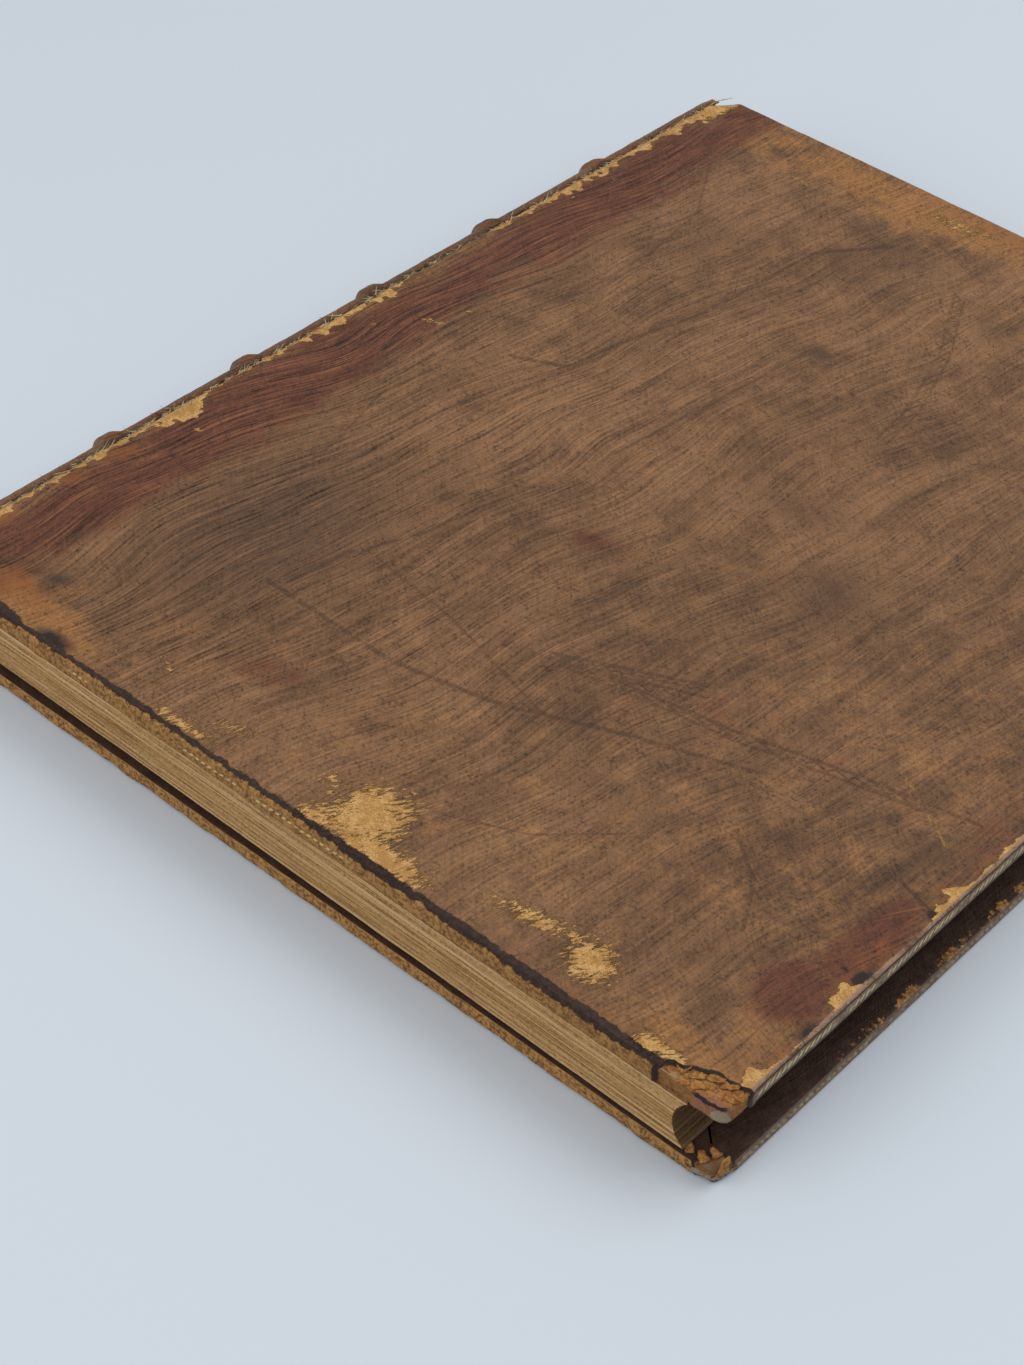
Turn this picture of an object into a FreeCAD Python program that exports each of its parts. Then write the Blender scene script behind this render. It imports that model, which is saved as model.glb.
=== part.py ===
import FreeCAD, Part
import math
import os

from FreeCAD import Vector

# An old quarto book in full calf over pasteboard, sewn on five raised cords.
# It lies closed on its lower cover. X runs from the spine to the fore-edge, Y from the
# tail to the head, and Z up. The origin is the middle of the footprint on the table.
# The upper joint has cracked along its whole length, so that cover hangs on its cords.

# Covers, from the fold at the joint to the fore-edge, leather included
board_width = 230.0
board_height = 295.0
pasteboard = 3.3
cover_leather = 0.8
edge_leather = 0.8
turn_in_leather = 0.35
turn_in_width = 17.0
turn_in_shown = 10.0
pastedown_paper = 0.15
back_corner_x = 5.0
back_corner_y = 6.5
outer_arris = 1.1
inner_arris = 0.3
far_corner_radius = 2.5
mitre_gap = 0.3

# Worn near corner, where the fore-edge and the tail meet
upper_near_radius = 3.0
ply_radii = (7.5, 4.0, 6.0, 2.5)
upper_tear_depth = 0.45
# Ragged outlines, as (distance in from the fore-edge, distance up from the tail) points
upper_tear = (
    (-2, -2),
    (-2, 9.5),
    (2.5, 8.6),
    (5.5, 8.8),
    (8, 6.2),
    (12.5, 6.8),
    (16, 4.6),
    (19.5, 4.2),
    (21.5, -2),
)
upper_bare = ((-2, -2), (-2, 3.6), (1.6, 4.4), (3.2, 2.6), (5.2, 1.7), (5.8, -2))
lower_tear = (
    (-2, -2),
    (-2, 13.5),
    (1.5, 12),
    (3, 13),
    (5, 9.5),
    (8.5, 9.8),
    (10, 6),
    (13.5, 5.2),
    (15, 2),
    (18, 1.4),
    (18.5, -2),
)

# Leaves
block_thickness = 13.5
cover_gap = 0.15
fore_edge_square = 9.0
fore_edge_hollow = 3.2
leaf_bend = 0.8
head_square = 5.0
# The leaves have slumped, so that their top ones are all but level with the covers' tail edge
tail_square_at_folds = 5.0
top_leaf_square = 0.45
bottom_leaf_square_at_spine = 2.4
bottom_leaf_square_at_fore = 0.9
slump_start = 4.0
slump_end = 22.0

# Spine
spine_leather = 1.0
spine_bulge = 6.5
shoulder_radius = 4.6
shoulder_flat = 0.5
joint_gap = 0.3
joint_drop = 0.4
board_setback = 0.5
lining = 0.3
glue = 0.05

# Sewing cords, their places as shares of the height above the tail, and the moulded bands
cord_radius = 1.4
band_places = (0.208, 0.3615, 0.514, 0.6656, 0.8158)
band_half_width = 4.4
band_half_top = 1.5
channel_half_width = 3.0
outer_ramp_steps = 4
inner_ramp_steps = 2
cord_sides = 6

# Ends of the spine
cap_setback = 1.2
cap_thickness = 1.0
cap_depth = 3.4
endband_radius = 1.3
# The torn edge at the head, as (share of the way up the spine, depth below the cover's head) points
head_tear = (
    (-0.04, 3.3),
    (0.17, 2.1),
    (0.35, 4.5),
    (0.52, 3.1),
    (0.7, 5.9),
    (0.83, 3.9),
    (0.93, 5.5),
    (1.04, 2.7),
)

# Cord ends laced into the boards
slip_width = 4.0
slip_thickness = 1.5
slip_length = 14.0
slip_hole = 3.0
slip_fan = 9.0
hole_sides = 8

# Lengths nearer than this count as the same
same = 0.01

# Worked out from the sizes above
cover_thickness = cover_leather + pasteboard + turn_in_leather + pastedown_paper
book_thickness = 2 * cover_thickness + 2 * cover_gap + block_thickness
mid_z = book_thickness / 2
block_inset = spine_leather + lining + 2 * glue
band_lift = spine_leather + 2 * glue + 2 * cord_radius - block_inset
spine_reach = spine_bulge + band_lift
joint_x = -(board_width - spine_reach) / 2
fore_x = joint_x + board_width
half_height = board_height / 2
spine_edge_x = joint_x - joint_gap
board_spine_x = joint_x + board_setback
leather_spine_x = joint_x + joint_gap
spine_half = mid_z - joint_drop
shoulder_z = spine_half - shoulder_radius
corner_to_back = spine_bulge - joint_gap - shoulder_flat
back_radius = (corner_to_back ** 2 + shoulder_z ** 2 - shoulder_radius ** 2) / (
    2 * (corner_to_back - shoulder_radius)
)
band_y = [share * board_height - half_height for share in band_places]
block_head_y = half_height - head_square
block_tail_y = -half_height + tail_square_at_folds
spine_tail_y = -half_height + cap_setback


def point(x, y, z):
    return Vector(x, y, z)


def line(start, end):
    return Part.LineSegment(start, end).toShape()


def arc(start, middle, end):
    return Part.Arc(start, middle, end).toShape()


def prism(corners, z_low, z_high):
    """Upright prism over a closed outline of (x, y) corners."""
    loop = [point(x, y, z_low) for x, y in corners]
    face = Part.Face(Part.makePolygon(loop + loop[:1]))
    return face.extrude(point(0, 0, z_high - z_low))


def block(x_low, x_high, y_low, y_high, z_low, z_high):
    corner = point(x_low, y_low, z_low)
    return Part.makeBox(x_high - x_low, y_high - y_low, z_high - z_low, corner)


def save(name, shape):
    if not shape.isValid():
        raise ValueError(name + " is not a valid shape")
    if not shape.Solids:
        raise ValueError(name + " has no solid")
    shape.exportStep("parts/" + name + ".step")
    print(name, len(shape.Solids), round(shape.Volume, 1))


# The spine's outline: flat over each shoulder, an arc round it, and a flatter arc across the back
def spine_arcs(y, inset, lift):
    """Shoulder, back and shoulder arcs, from the upper joint round to the lower one."""
    corner_x = spine_edge_x - shoulder_flat - lift
    centre_x = back_radius - spine_bulge + joint_x - lift
    small = shoulder_radius - inset
    large = back_radius - inset
    reach = math.hypot(centre_x - corner_x, shoulder_z)
    toward_x = (corner_x - centre_x) / reach
    toward_z = shoulder_z / reach
    turn = math.atan2(toward_z, -toward_x)
    between = (turn + math.pi / 2) / 2

    top = point(corner_x, y, mid_z + shoulder_z + small)
    upper_mid = point(
        corner_x - small * math.cos(between), y, mid_z + shoulder_z + small * math.sin(between)
    )
    upper_end = point(centre_x + large * toward_x, y, mid_z + large * toward_z)
    apex = point(centre_x - large, y, mid_z)
    lower_end = point(upper_end.x, y, 2 * mid_z - upper_end.z)
    lower_mid = point(upper_mid.x, y, 2 * mid_z - upper_mid.z)
    bottom = point(corner_x, y, 2 * mid_z - top.z)
    return [
        arc(top, upper_mid, upper_end),
        arc(upper_end, apex, lower_end),
        arc(lower_end, lower_mid, bottom),
    ]


def spine_section(y, inset, lift, open_x):
    """Closed outline across the spine, shut by an upright line at open_x."""
    arcs = spine_arcs(y, inset, lift)
    top = arcs[0].firstVertex().Point
    bottom = arcs[-1].lastVertex().Point
    top_in = point(open_x, y, top.z)
    bottom_in = point(open_x, y, bottom.z)
    edges = [line(top_in, top)] + arcs + [line(bottom, bottom_in), line(bottom_in, top_in)]
    return Part.Wire(edges)


def band_rise(distance, half_width):
    """Share of the full lift at a distance from the band's middle, as the leather falls to the panel."""
    if distance <= band_half_top:
        return 1.0
    share = (distance - band_half_top) / (half_width - band_half_top)
    return 0.5 + 0.5 * math.cos(math.pi * min(share, 1.0))


def banded_solid(y_low, y_high, inset, half_width, ramp_steps, open_x):
    """Solid spine shape whose skin rises over each cord."""
    ramp = (half_width - band_half_top) / (ramp_steps - 1)
    rising = [half_width - ramp * step for step in range(ramp_steps)]
    offsets = [-distance for distance in rising] + rising[::-1]
    sections = [spine_section(y_low, inset, 0, open_x)]
    for centre in band_y:
        for offset in offsets:
            lift = band_lift * band_rise(abs(offset), half_width)
            sections.append(spine_section(centre + offset, inset, lift, open_x))
    sections.append(spine_section(y_high, inset, 0, open_x))
    return Part.makeLoft(sections, True, True)


def spine_skin():
    """Calf over the back, moulded over the cords, capped at the tail and torn off at the head."""
    outside = banded_solid(
        spine_tail_y, half_height, 0, band_half_width, outer_ramp_steps, spine_edge_x
    )
    inside = banded_solid(
        spine_tail_y - 1,
        half_height + 1,
        spine_leather,
        channel_half_width,
        inner_ramp_steps,
        board_spine_x,
    )
    skin = outside.cut(inside)

    rim = Part.Face(spine_section(spine_tail_y, 0, 0, spine_edge_x))
    mouth = Part.Face(spine_section(spine_tail_y, cap_depth, 0, board_spine_x))
    cap = rim.cut(mouth).extrude(point(0, cap_thickness, 0))
    skin = skin.fuse(cap)

    beyond = joint_x - 2 * spine_reach
    loop = [point(beyond, half_height - drop, up * book_thickness) for up, drop in head_tear]
    loop.append(point(beyond, half_height + 1, loop[-1].z))
    loop.append(point(beyond, half_height + 1, loop[0].z))
    torn_off = Part.Face(Part.makePolygon(loop + loop[:1])).extrude(point(3 * spine_reach, 0, 0))
    return skin.cut(torn_off).removeSplitter()


def cord_section(centre, outward, radius):
    """Section of a cord, square to its run across the spine."""
    corners = []
    for side in range(cord_sides):
        turn = 2 * math.pi * (side + 0.5) / cord_sides
        away = outward * (radius * math.cos(turn))
        along = point(0, radius * math.sin(turn), 0)
        corners.append(centre + away + along)
    return Part.Face(Part.makePolygon(corners + corners[:1]))


def tube(y, inset, lift, radius, to_joint):
    """Cord that follows the spine's outline across the book."""
    arcs = spine_arcs(y, inset, lift)
    pieces = []
    for run in arcs:
        start = run.firstVertex().Point
        centre = run.Curve.Center
        outward = (start - centre).normalize()
        sweep = math.degrees(run.Length / run.Curve.Radius)
        section = cord_section(start, outward, radius)
        pieces.append(section.revolve(centre, point(0, -1, 0), sweep))
    if to_joint:
        for end, outward in ((arcs[0].firstVertex(), 1), (arcs[-1].lastVertex(), -1)):
            section = cord_section(end.Point, point(0, 0, outward), radius)
            pieces.append(section.extrude(point(spine_edge_x - end.Point.x, 0, 0)))
    return pieces[0].multiFuse(pieces[1:]).removeSplitter()


def sewing_cord(y, extra=0):
    """Raised cord behind a band. The extra is the room that the folds leave round it."""
    inset = spine_leather + glue + cord_radius
    return tube(y, inset, band_lift, cord_radius + extra, True)


def endband(y):
    """Sewn roll that finishes one end of the spine, bent round the back of the leaves."""
    return tube(y, block_inset + endband_radius + 2 * glue, 0, endband_radius, False)


def slumped_square(z, bottom_square):
    """How far in from the covers' tail edge the leaves lie at one height."""
    share = (mid_z + block_thickness / 2 - z) / block_thickness
    return top_leaf_square + share * (bottom_square - top_leaf_square)


def leaf_plan(z):
    """Plan of the leaves at one height, with the tail edge that they have slumped to."""
    square_at_spine = slumped_square(z, bottom_leaf_square_at_spine)
    square_at_fore = slumped_square(z, bottom_leaf_square_at_fore)
    left = joint_x - 2 * spine_bulge
    right = fore_x
    outline = (
        (left, block_tail_y),
        (joint_x + slump_start, block_tail_y),
        (joint_x + slump_end, -half_height + square_at_spine),
        (right, -half_height + square_at_fore),
        (right, block_head_y),
        (left, block_head_y),
    )
    corners = [point(x, y, z) for x, y in outline]
    return Part.makePolygon(corners + corners[:1])


def leaves():
    """All the leaves as one solid: backed with a shoulder, hollow at the fore-edge, slumped at the tail."""
    half = block_thickness / 2
    upper = mid_z + half
    lower = mid_z - half
    fore = fore_x - fore_edge_square
    bend_x = spine_edge_x + leaf_bend
    # a quarter arc's middle stands off its corner by this share of its radius
    slack = leaf_bend * (1 - math.sqrt(0.5))

    arcs = spine_arcs(-half_height, block_inset, 0)
    top = arcs[0].firstVertex().Point
    bottom = arcs[-1].lastVertex().Point
    y = top.y
    low_tip = point(spine_edge_x, y, bottom.z)
    low_bend = point(spine_edge_x, y, lower - leaf_bend)
    low_flat = point(bend_x, y, lower)
    low_fore = point(fore, y, lower)
    high_fore = point(fore, y, upper)
    high_flat = point(bend_x, y, upper)
    high_bend = point(spine_edge_x, y, upper + leaf_bend)
    high_tip = point(spine_edge_x, y, top.z)
    edges = arcs + [
        line(bottom, low_tip),
        line(low_tip, low_bend),
        arc(low_bend, point(spine_edge_x + slack, y, lower - slack), low_flat),
        line(low_flat, low_fore),
        arc(low_fore, point(fore - fore_edge_hollow, y, mid_z), high_fore),
        line(high_fore, high_flat),
        arc(high_flat, point(spine_edge_x + slack, y, upper + slack), high_bend),
        line(high_bend, high_tip),
        line(high_tip, top),
    ]
    solid = Part.Face(Part.Wire(edges)).extrude(point(0, board_height, 0))

    trimmed = Part.makeLoft([leaf_plan(0), leaf_plan(book_thickness)], True, True)
    solid = solid.common(trimmed)
    for centre in band_y:
        solid = solid.cut(sewing_cord(centre, glue))
    return solid


def lining_panels():
    """Paper pasted on the back of the folds, one panel between each two cords and at the ends."""
    reach = mid_z - shoulder_z
    stops = [block_tail_y - channel_half_width] + band_y + [block_head_y + channel_half_width]
    panels = []
    for low, high in zip(stops, stops[1:]):
        y_low = low + channel_half_width
        y_high = high - channel_half_width
        outer = Part.Face(spine_section(y_low, spine_leather + glue, 0, spine_edge_x))
        inner = Part.Face(spine_section(y_low, spine_leather + glue + lining, 0, board_spine_x))
        sleeve = outer.cut(inner).extrude(point(0, y_high - y_low, 0))
        back = block(
            joint_x - spine_bulge, spine_edge_x, y_low, y_high, reach, book_thickness - reach
        )
        panels.append(sleeve.common(back))
    return panels


# Covers are drawn as the upper one. The lower one is its mirror image in the middle plane.
def lay(shape, lower):
    if not lower:
        return shape
    return shape.mirror(point(0, 0, mid_z), point(0, 0, 1))


def cover_plan(inset, spine_x, near_radius, z_low, z_high):
    """Cover plate: back-cornered beside the spine and rounded at the fore-edge corners."""
    fore = fore_x - inset
    tail = -half_height + inset
    head = half_height - inset
    near = max(near_radius - inset, 0.5)
    far = max(far_corner_radius - inset, 0.5)
    slack_near = near * (1 - math.sqrt(0.5))
    slack_far = far * (1 - math.sqrt(0.5))
    nip_x = leather_spine_x + back_corner_x
    nip_y = back_corner_y
    z = z_low
    spine_tail = point(spine_x, tail + nip_y, z)
    tail_nip = point(nip_x, tail, z)
    tail_fore = point(fore - near, tail, z)
    fore_tail = point(fore, tail + near, z)
    fore_head = point(fore, head - far, z)
    head_fore = point(fore - far, head, z)
    head_nip = point(nip_x, head, z)
    spine_head = point(spine_x, head - nip_y, z)
    edges = [
        line(spine_tail, tail_nip),
        line(tail_nip, tail_fore),
        arc(tail_fore, point(fore - slack_near, tail + slack_near, z), fore_tail),
        line(fore_tail, fore_head),
        arc(fore_head, point(fore - slack_far, head - slack_far, z), head_fore),
        line(head_fore, head_nip),
        line(head_nip, spine_head),
        line(spine_head, spine_tail),
    ]
    return Part.Face(Part.Wire(edges)).extrude(point(0, 0, z_high - z_low))


board_top = book_thickness - cover_leather
board_under = board_top - pasteboard
turn_in_under = board_under - turn_in_leather
cover_under = turn_in_under - pastedown_paper


def slip(y, room=0):
    """Cord end laced into a board: along its outside, through a hole and fanned out within."""
    width = slip_width / 2 + room
    hole_x = board_spine_x + slip_length
    outside = block(
        board_spine_x - room, hole_x, y - width, y + width, board_top - slip_thickness, board_top
    )
    ring = []
    for side in range(hole_sides):
        turn = 2 * math.pi * (side + 0.5) / hole_sides
        radius = slip_hole / 2 + room
        ring.append((hole_x + radius * math.cos(turn), y + radius * math.sin(turn)))
    through = prism(ring, board_under, board_top)
    end_x = hole_x + slip_fan
    fan_half = slip_fan / 3 + room
    fan_z = board_under + slip_thickness / 2
    fan = prism(
        (
            (hole_x, y - slip_hole / 2),
            (end_x + room, y - fan_half),
            (end_x + room, y + fan_half),
            (hole_x, y + slip_hole / 2),
        ),
        board_under,
        fan_z,
    )
    return outside.fuse(through).fuse(fan).removeSplitter()


def board(lower):
    """Pasteboard core. The lower one's plies have parted and worn back at the near corner."""
    if lower:
        ply = pasteboard / len(ply_radii)
        plate = None
        for number, radius in enumerate(ply_radii):
            z_high = board_top - number * ply
            layer = cover_plan(edge_leather, board_spine_x, radius, z_high - ply, z_high)
            plate = layer if plate is None else plate.fuse(layer)
        plate = plate.removeSplitter()
    else:
        plate = cover_plan(edge_leather, board_spine_x, upper_near_radius, board_under, board_top)
    for centre in band_y:
        plate = plate.cut(slip(centre, glue))
    return plate


def near_corner(outline, z_low, z_high):
    """Ragged patch, drawn as (distance from the fore-edge, distance from the tail) points."""
    corners = [(fore_x - across, -half_height + up) for across, up in outline]
    return prism(corners, z_low, z_high)


def rim_edges(solid, level):
    """Edges round a cover at one height, apart from the one along the spine."""
    return [
        edge
        for edge in solid.Edges
        if abs(edge.BoundBox.ZMin - level) < same
        and edge.BoundBox.ZLength < same
        and edge.BoundBox.XMax > leather_spine_x + same
    ]


def cover_skin(lower):
    """Calf over the outside, round three edges and turned in, with mitred corners."""
    near_radius = min(ply_radii) if lower else upper_near_radius
    body = cover_plan(0, leather_spine_x, near_radius, turn_in_under, book_thickness)

    body = body.makeFillet(outer_arris, rim_edges(body, book_thickness))
    body = body.makeFillet(inner_arris, rim_edges(body, turn_in_under))

    core = cover_plan(edge_leather, leather_spine_x - 1, near_radius, board_under, board_top)
    window = block(
        leather_spine_x - 1,
        fore_x - turn_in_width,
        -half_height + turn_in_width,
        half_height - turn_in_width,
        turn_in_under - 1,
        board_under,
    )
    skin = body.cut(core).cut(window)

    # The turn-ins meet on a slant at both fore-edge corners
    for side in (-1, 1):
        inner_x = fore_x - turn_in_width - 1
        inner_y = side * (half_height - turn_in_width - 1)
        outer_x = fore_x - edge_leather - far_corner_radius
        outer_y = side * (half_height - edge_leather - far_corner_radius)
        slot = prism(
            (
                (inner_x - mitre_gap, inner_y),
                (outer_x - mitre_gap, outer_y),
                (outer_x + mitre_gap, outer_y),
                (inner_x + mitre_gap, inner_y),
            ),
            turn_in_under - 1,
            board_under,
        )
        skin = skin.cut(slot)

    if lower:
        skin = skin.cut(near_corner(lower_tear, turn_in_under - 1, book_thickness + 1))
    else:
        skin = skin.cut(near_corner(upper_tear, book_thickness - upper_tear_depth, book_thickness + 1))
        skin = skin.cut(near_corner(upper_bare, board_under, book_thickness + 1))
    return skin.removeSplitter()


def pastedown():
    """Endpaper pasted inside the cover, filling between the turn-ins and lapping over them."""
    reach = turn_in_width + glue
    lap = turn_in_shown
    fill = block(
        board_spine_x,
        fore_x - reach,
        -half_height + reach,
        half_height - reach,
        turn_in_under,
        board_under,
    )
    sheet = block(
        board_spine_x,
        fore_x - lap,
        -half_height + lap,
        half_height - lap,
        cover_under,
        turn_in_under,
    )
    return fill.fuse(sheet).removeSplitter()


def build():
    os.makedirs("parts", exist_ok=True)
    save("text_block", leaves())
    save("spine_leather", spine_skin())
    for number, centre in enumerate(band_y, 1):
        save("sewing_cord_%d" % number, sewing_cord(centre))
    for number, panel in enumerate(lining_panels(), 1):
        save("spine_lining_%d" % number, panel)
    save("tailband", endband(block_tail_y - endband_radius - 2 * glue))
    save("headband", endband(block_head_y + endband_radius + 2 * glue))
    for side, lower in (("front", False), ("back", True)):
        save(side + "_leather", lay(cover_skin(lower), lower))
        save(side + "_board", lay(board(lower), lower))
        save(side + "_pastedown", lay(pastedown(), lower))
        for number, centre in enumerate(band_y, 1):
            save("%s_slip_%d" % (side, number), lay(slip(centre), lower))


build()
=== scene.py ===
import itertools
import math

import bpy
import numpy as np
from bpy.props import FloatProperty, FloatVectorProperty, IntProperty, PointerProperty
from mathutils import Matrix, Vector


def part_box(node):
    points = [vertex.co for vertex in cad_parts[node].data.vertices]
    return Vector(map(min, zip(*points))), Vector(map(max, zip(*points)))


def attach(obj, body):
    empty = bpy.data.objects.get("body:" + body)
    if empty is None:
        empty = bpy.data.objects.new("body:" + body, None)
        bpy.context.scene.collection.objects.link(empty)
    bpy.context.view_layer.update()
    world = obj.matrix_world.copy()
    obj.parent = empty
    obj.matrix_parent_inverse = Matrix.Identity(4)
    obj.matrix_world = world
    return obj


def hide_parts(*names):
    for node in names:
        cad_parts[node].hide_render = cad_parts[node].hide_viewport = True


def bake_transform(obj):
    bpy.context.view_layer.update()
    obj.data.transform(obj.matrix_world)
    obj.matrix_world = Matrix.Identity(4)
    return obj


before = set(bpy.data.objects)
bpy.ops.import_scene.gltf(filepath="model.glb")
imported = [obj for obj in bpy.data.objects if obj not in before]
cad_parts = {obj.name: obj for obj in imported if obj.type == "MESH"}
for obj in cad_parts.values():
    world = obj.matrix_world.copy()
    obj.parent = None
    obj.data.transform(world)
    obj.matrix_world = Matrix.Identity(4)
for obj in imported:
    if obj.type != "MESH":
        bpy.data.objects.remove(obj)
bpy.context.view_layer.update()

bl_info = {
    "name": "Antique leather book",
    "version": (1, 0, 0),
    "blender": (4, 5, 0),
    "location": "View3D > Sidebar > Antique book",
    "description": "Dresses the frame of an old quarto in worn calf, cut leaves, thread and pasteboard",
    "category": "Object",
}

# Mesh code works in millimetres. Places on a cover are given as (across from the joint, up from the tail).
MM = 0.001


def box_in_mm(node):
    """Lowest and highest corners of a solid."""
    low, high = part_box(node)
    return np.array(low) / MM, np.array(high) / MM


COVER_LOW, COVER_HIGH = box_in_mm("front_leather")
PAPER_LOW, _ = box_in_mm("front_pastedown")
SPINE_LOW, _ = box_in_mm("spine_leather")

BOOK_THICKNESS = COVER_HIGH[2]
MID_Z = BOOK_THICKNESS / 2
JOINT_GAP = 0.3
JOINT_X = COVER_LOW[0] - JOINT_GAP
TAIL_Y = COVER_LOW[1]
BOARD_WIDTH = COVER_HIGH[0] - JOINT_X
BOARD_HEIGHT = COVER_HIGH[1] - COVER_LOW[1]
SKIN_DEPTH = COVER_HIGH[2] - COVER_LOW[2]
INNER_FACE = PAPER_LOW[2]

# Shape of the covers' edges
OUTER_ARRIS = 1.1
INNER_ARRIS = 0.3
TURN_IN = 17.0
TURN_IN_LEATHER = 0.33
NIP_ACROSS = 5.0
NIP_UP = 6.5
UPPER_NEAR_RADIUS = 3.0
LOWER_NEAR_RADIUS = 3.4
FAR_RADIUS = 2.5
LEAST_TURN_IN = 1.2
TURN_IN_SHARES = (0.05, 0.11, 0.18, 0.27, 0.38, 0.52, 0.7, 1.0, 1.001)
PLY_DEPTH = 0.62
RAW_EDGE = ((0.02, 0.4), (0.05, 0.78), (0.9, 0.79))
ARRIS_STEPS = 4
FACE_STEPS = 6
# Widths of the zones along joint, fore-edge, tail and head where a cover's points lie closer
FINE_AT_JOINT = 8
FINE_AT_FORE = 24
FINE_AT_TAIL = 18
FINE_AT_HEAD = 6
# How far round the edge the surface is still lifted or sunk
LIFT_ENDS = 9.0
# Value of a place that is far from any edge or tear
AWAY = -9.0

# Shape of the spine
SPINE_EDGE_X = JOINT_X - JOINT_GAP
SPINE_HALF = MID_Z - 0.4
SPINE_BULGE = 6.5
SHOULDER_RADIUS = 4.6
SHOULDER_FLAT = 0.5
SHOULDER_Z = SPINE_HALF - SHOULDER_RADIUS
SPINE_THICKNESS = 0.9
BAND_PLACES = (0.208, 0.3615, 0.514, 0.6656, 0.8158)
BAND_LIFT = 2.5
BAND_HALF_WIDTH = 4.4
BAND_HALF_TOP = 1.5
WORN_BANDS = 0.78
SPINE_RUN = 34.0
HEAD_RUN = 9.0
# Torn head of the spine: share of the way round from the upper joint, depth torn off
SPINE_TEAR = (
    (0, 3.0),
    (0.12, 2.0),
    (0.26, 4.4),
    (0.4, 3.0),
    (0.55, 5.6),
    (0.68, 3.6),
    (0.8, 5.2),
    (0.92, 3.0),
    (1, 2.6),
)
# Calf curled over at the spine's tail: outer inset and rise, inner inset and rise
TAIL_CURL = (
    (3.4, 0.5, 3.4, 0.55),
    (3.2, 0.12, 3.2, 1.0),
    (2.2, 0.0, 2.3, 1.0),
    (0.9, 0.0, 1.5, 1.0),
    (0.4, 0.2, 1.2, 1.0),
    (0.12, 0.55, 1.0, 1.0),
)

# Shape of the leaves
LEAF_BLOCK_HALF = MID_Z - (BOOK_THICKNESS - INNER_FACE) - 0.15
LEAF_FORE_X = COVER_HIGH[0] - 9.0
FORE_HOLLOW = 3.2
HEAD_SQUARE = 5.0
TAIL_SQUARE_AT_FOLDS = 5.0
TOP_LEAF_SQUARE = 0.45
BOTTOM_LEAF_SQUARE = (2.4, 0.9)
SLUMP = (4.0, 22.0)
BLOCK_INSET = 1.4
ENDBAND_RADIUS = 1.3
ENDBAND_RUN = 27.0
ENDBAND_SIDES = 12
GLUE = 0.05

# Strip of calf over the lower joint: outline across the joint and up, and the stretch along the joint that it
# covers
JOINT_STRIP = (
    (-3.2, 0.5),
    (-2.4, 0.16),
    (-1.2, 0.06),
    (-0.5, 0.04),
    (0.0, 0.03),
    (0.5, 0.03),
    (1.4, 0.02),
    (2.6, 0.02),
    (2.6, 0.2),
    (0.5, 0.34),
    (-0.5, 0.42),
    (-3.2, 0.62),
)
JOINT_STRIP_FROM_END = 7.2
JOINT_STRIP_POINTS = 220

# Patches of colour on the upper cover: (across, up), (half width, half height), lean in degrees, strength
SMUDGES = (
    ((91, 263), (9, 6), 20, 0.5),
    ((123, 249), (10, 5), -30, 0.5),
    ((131, 156), (13, 7), 15, 0.6),
    ((155, 137), (9, 12), 10, 0.7),
    ((99, 77), (12, 6), 0, 0.5),
    ((46, 61), (9, 12), 20, 0.6),
    ((160, 51), (16, 7), 15, 0.5),
    ((42, 231), (9, 14), 0, 0.5),
    ((24, 204), (7, 18), 0, 0.5),
    ((44, 93), (9, 18), 10, 0.5),
    ((96, 210), (4, 3), 0, 0.9),
    ((60, 178), (16, 10), 20, 0.4),
    ((200, 32), (12, 8), 30, 0.4),
    ((19, 14), (6, 3), 20, 1.0),
    ((29, 13), (4, 3), -10, 0.8),
    ((218, 150), (9, 30), 0, 0.3),
    ((46, 62), (24, 38), 0, 0.85),
    ((30, 44), (10, 16), 0, 0.65),
    ((34, 24), (14, 8), 0, 0.5),
    ((12.5, 68), (5, 7), 10, 1.15),
    ((12.5, 49), (5, 8), 0, 1.15),
    ((17, 34), (6, 7), 20, 0.9),
    ((11.5, 20), (4, 6), 0, 1.2),
    ((16, 100), (4, 16), 0, 0.7),
    ((29, 17), (3.4, 2), 30, 1.0),
    ((43, 2.5), (4, 2), 0, 1.6),
    ((228.8, 45), (2.6, 3), 0, 1.8),
    ((224, 45), (1.8, 1.2), 0, 1.5),
    ((228.4, 69), (2.4, 1.6), 0, 1.7),
    ((229, 27), (1.8, 3), 0, 1.6),
    ((100, 30), (22, 12), 10, 0.35),
    ((60, 100), (14, 22), 0, 0.5),
)
OXBLOOD = (
    ((12, 90), (8, 90), 0, 1.2),
    ((11, 240), (8, 60), 0, 1.1),
    ((105, 112), (7, 4), 10, 0.7),
    ((84, 28), (9, 4), 20, 0.7),
    ((221, 33), (6, 6), 0, 1.3),
    ((224, 54), (4, 12), 0, 1.2),
    ((226, 92), (6, 18), 0, 0.5),
    ((160, 86), (30, 8), 10, 0.35),
)
WARMTH = (
    ((78, 286), (26, 9), 2, 1.1),
    ((45, 286), (38, 10), 0, 0.7),
    ((30, 6), (20, 7), -3, 0.9),
    ((225, 30), (8, 45), 0, 0.5),
    ((190, 60), (35, 28), 20, 0.3),
    ((200, 110), (30, 30), 0, 0.3),
    ((150, 30), (40, 18), 0, 0.3),
    ((214, 8), (12, 4), 0, 0.8),
    ((3, 150), (2.5, 150), 0, 0.5),
)
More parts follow.
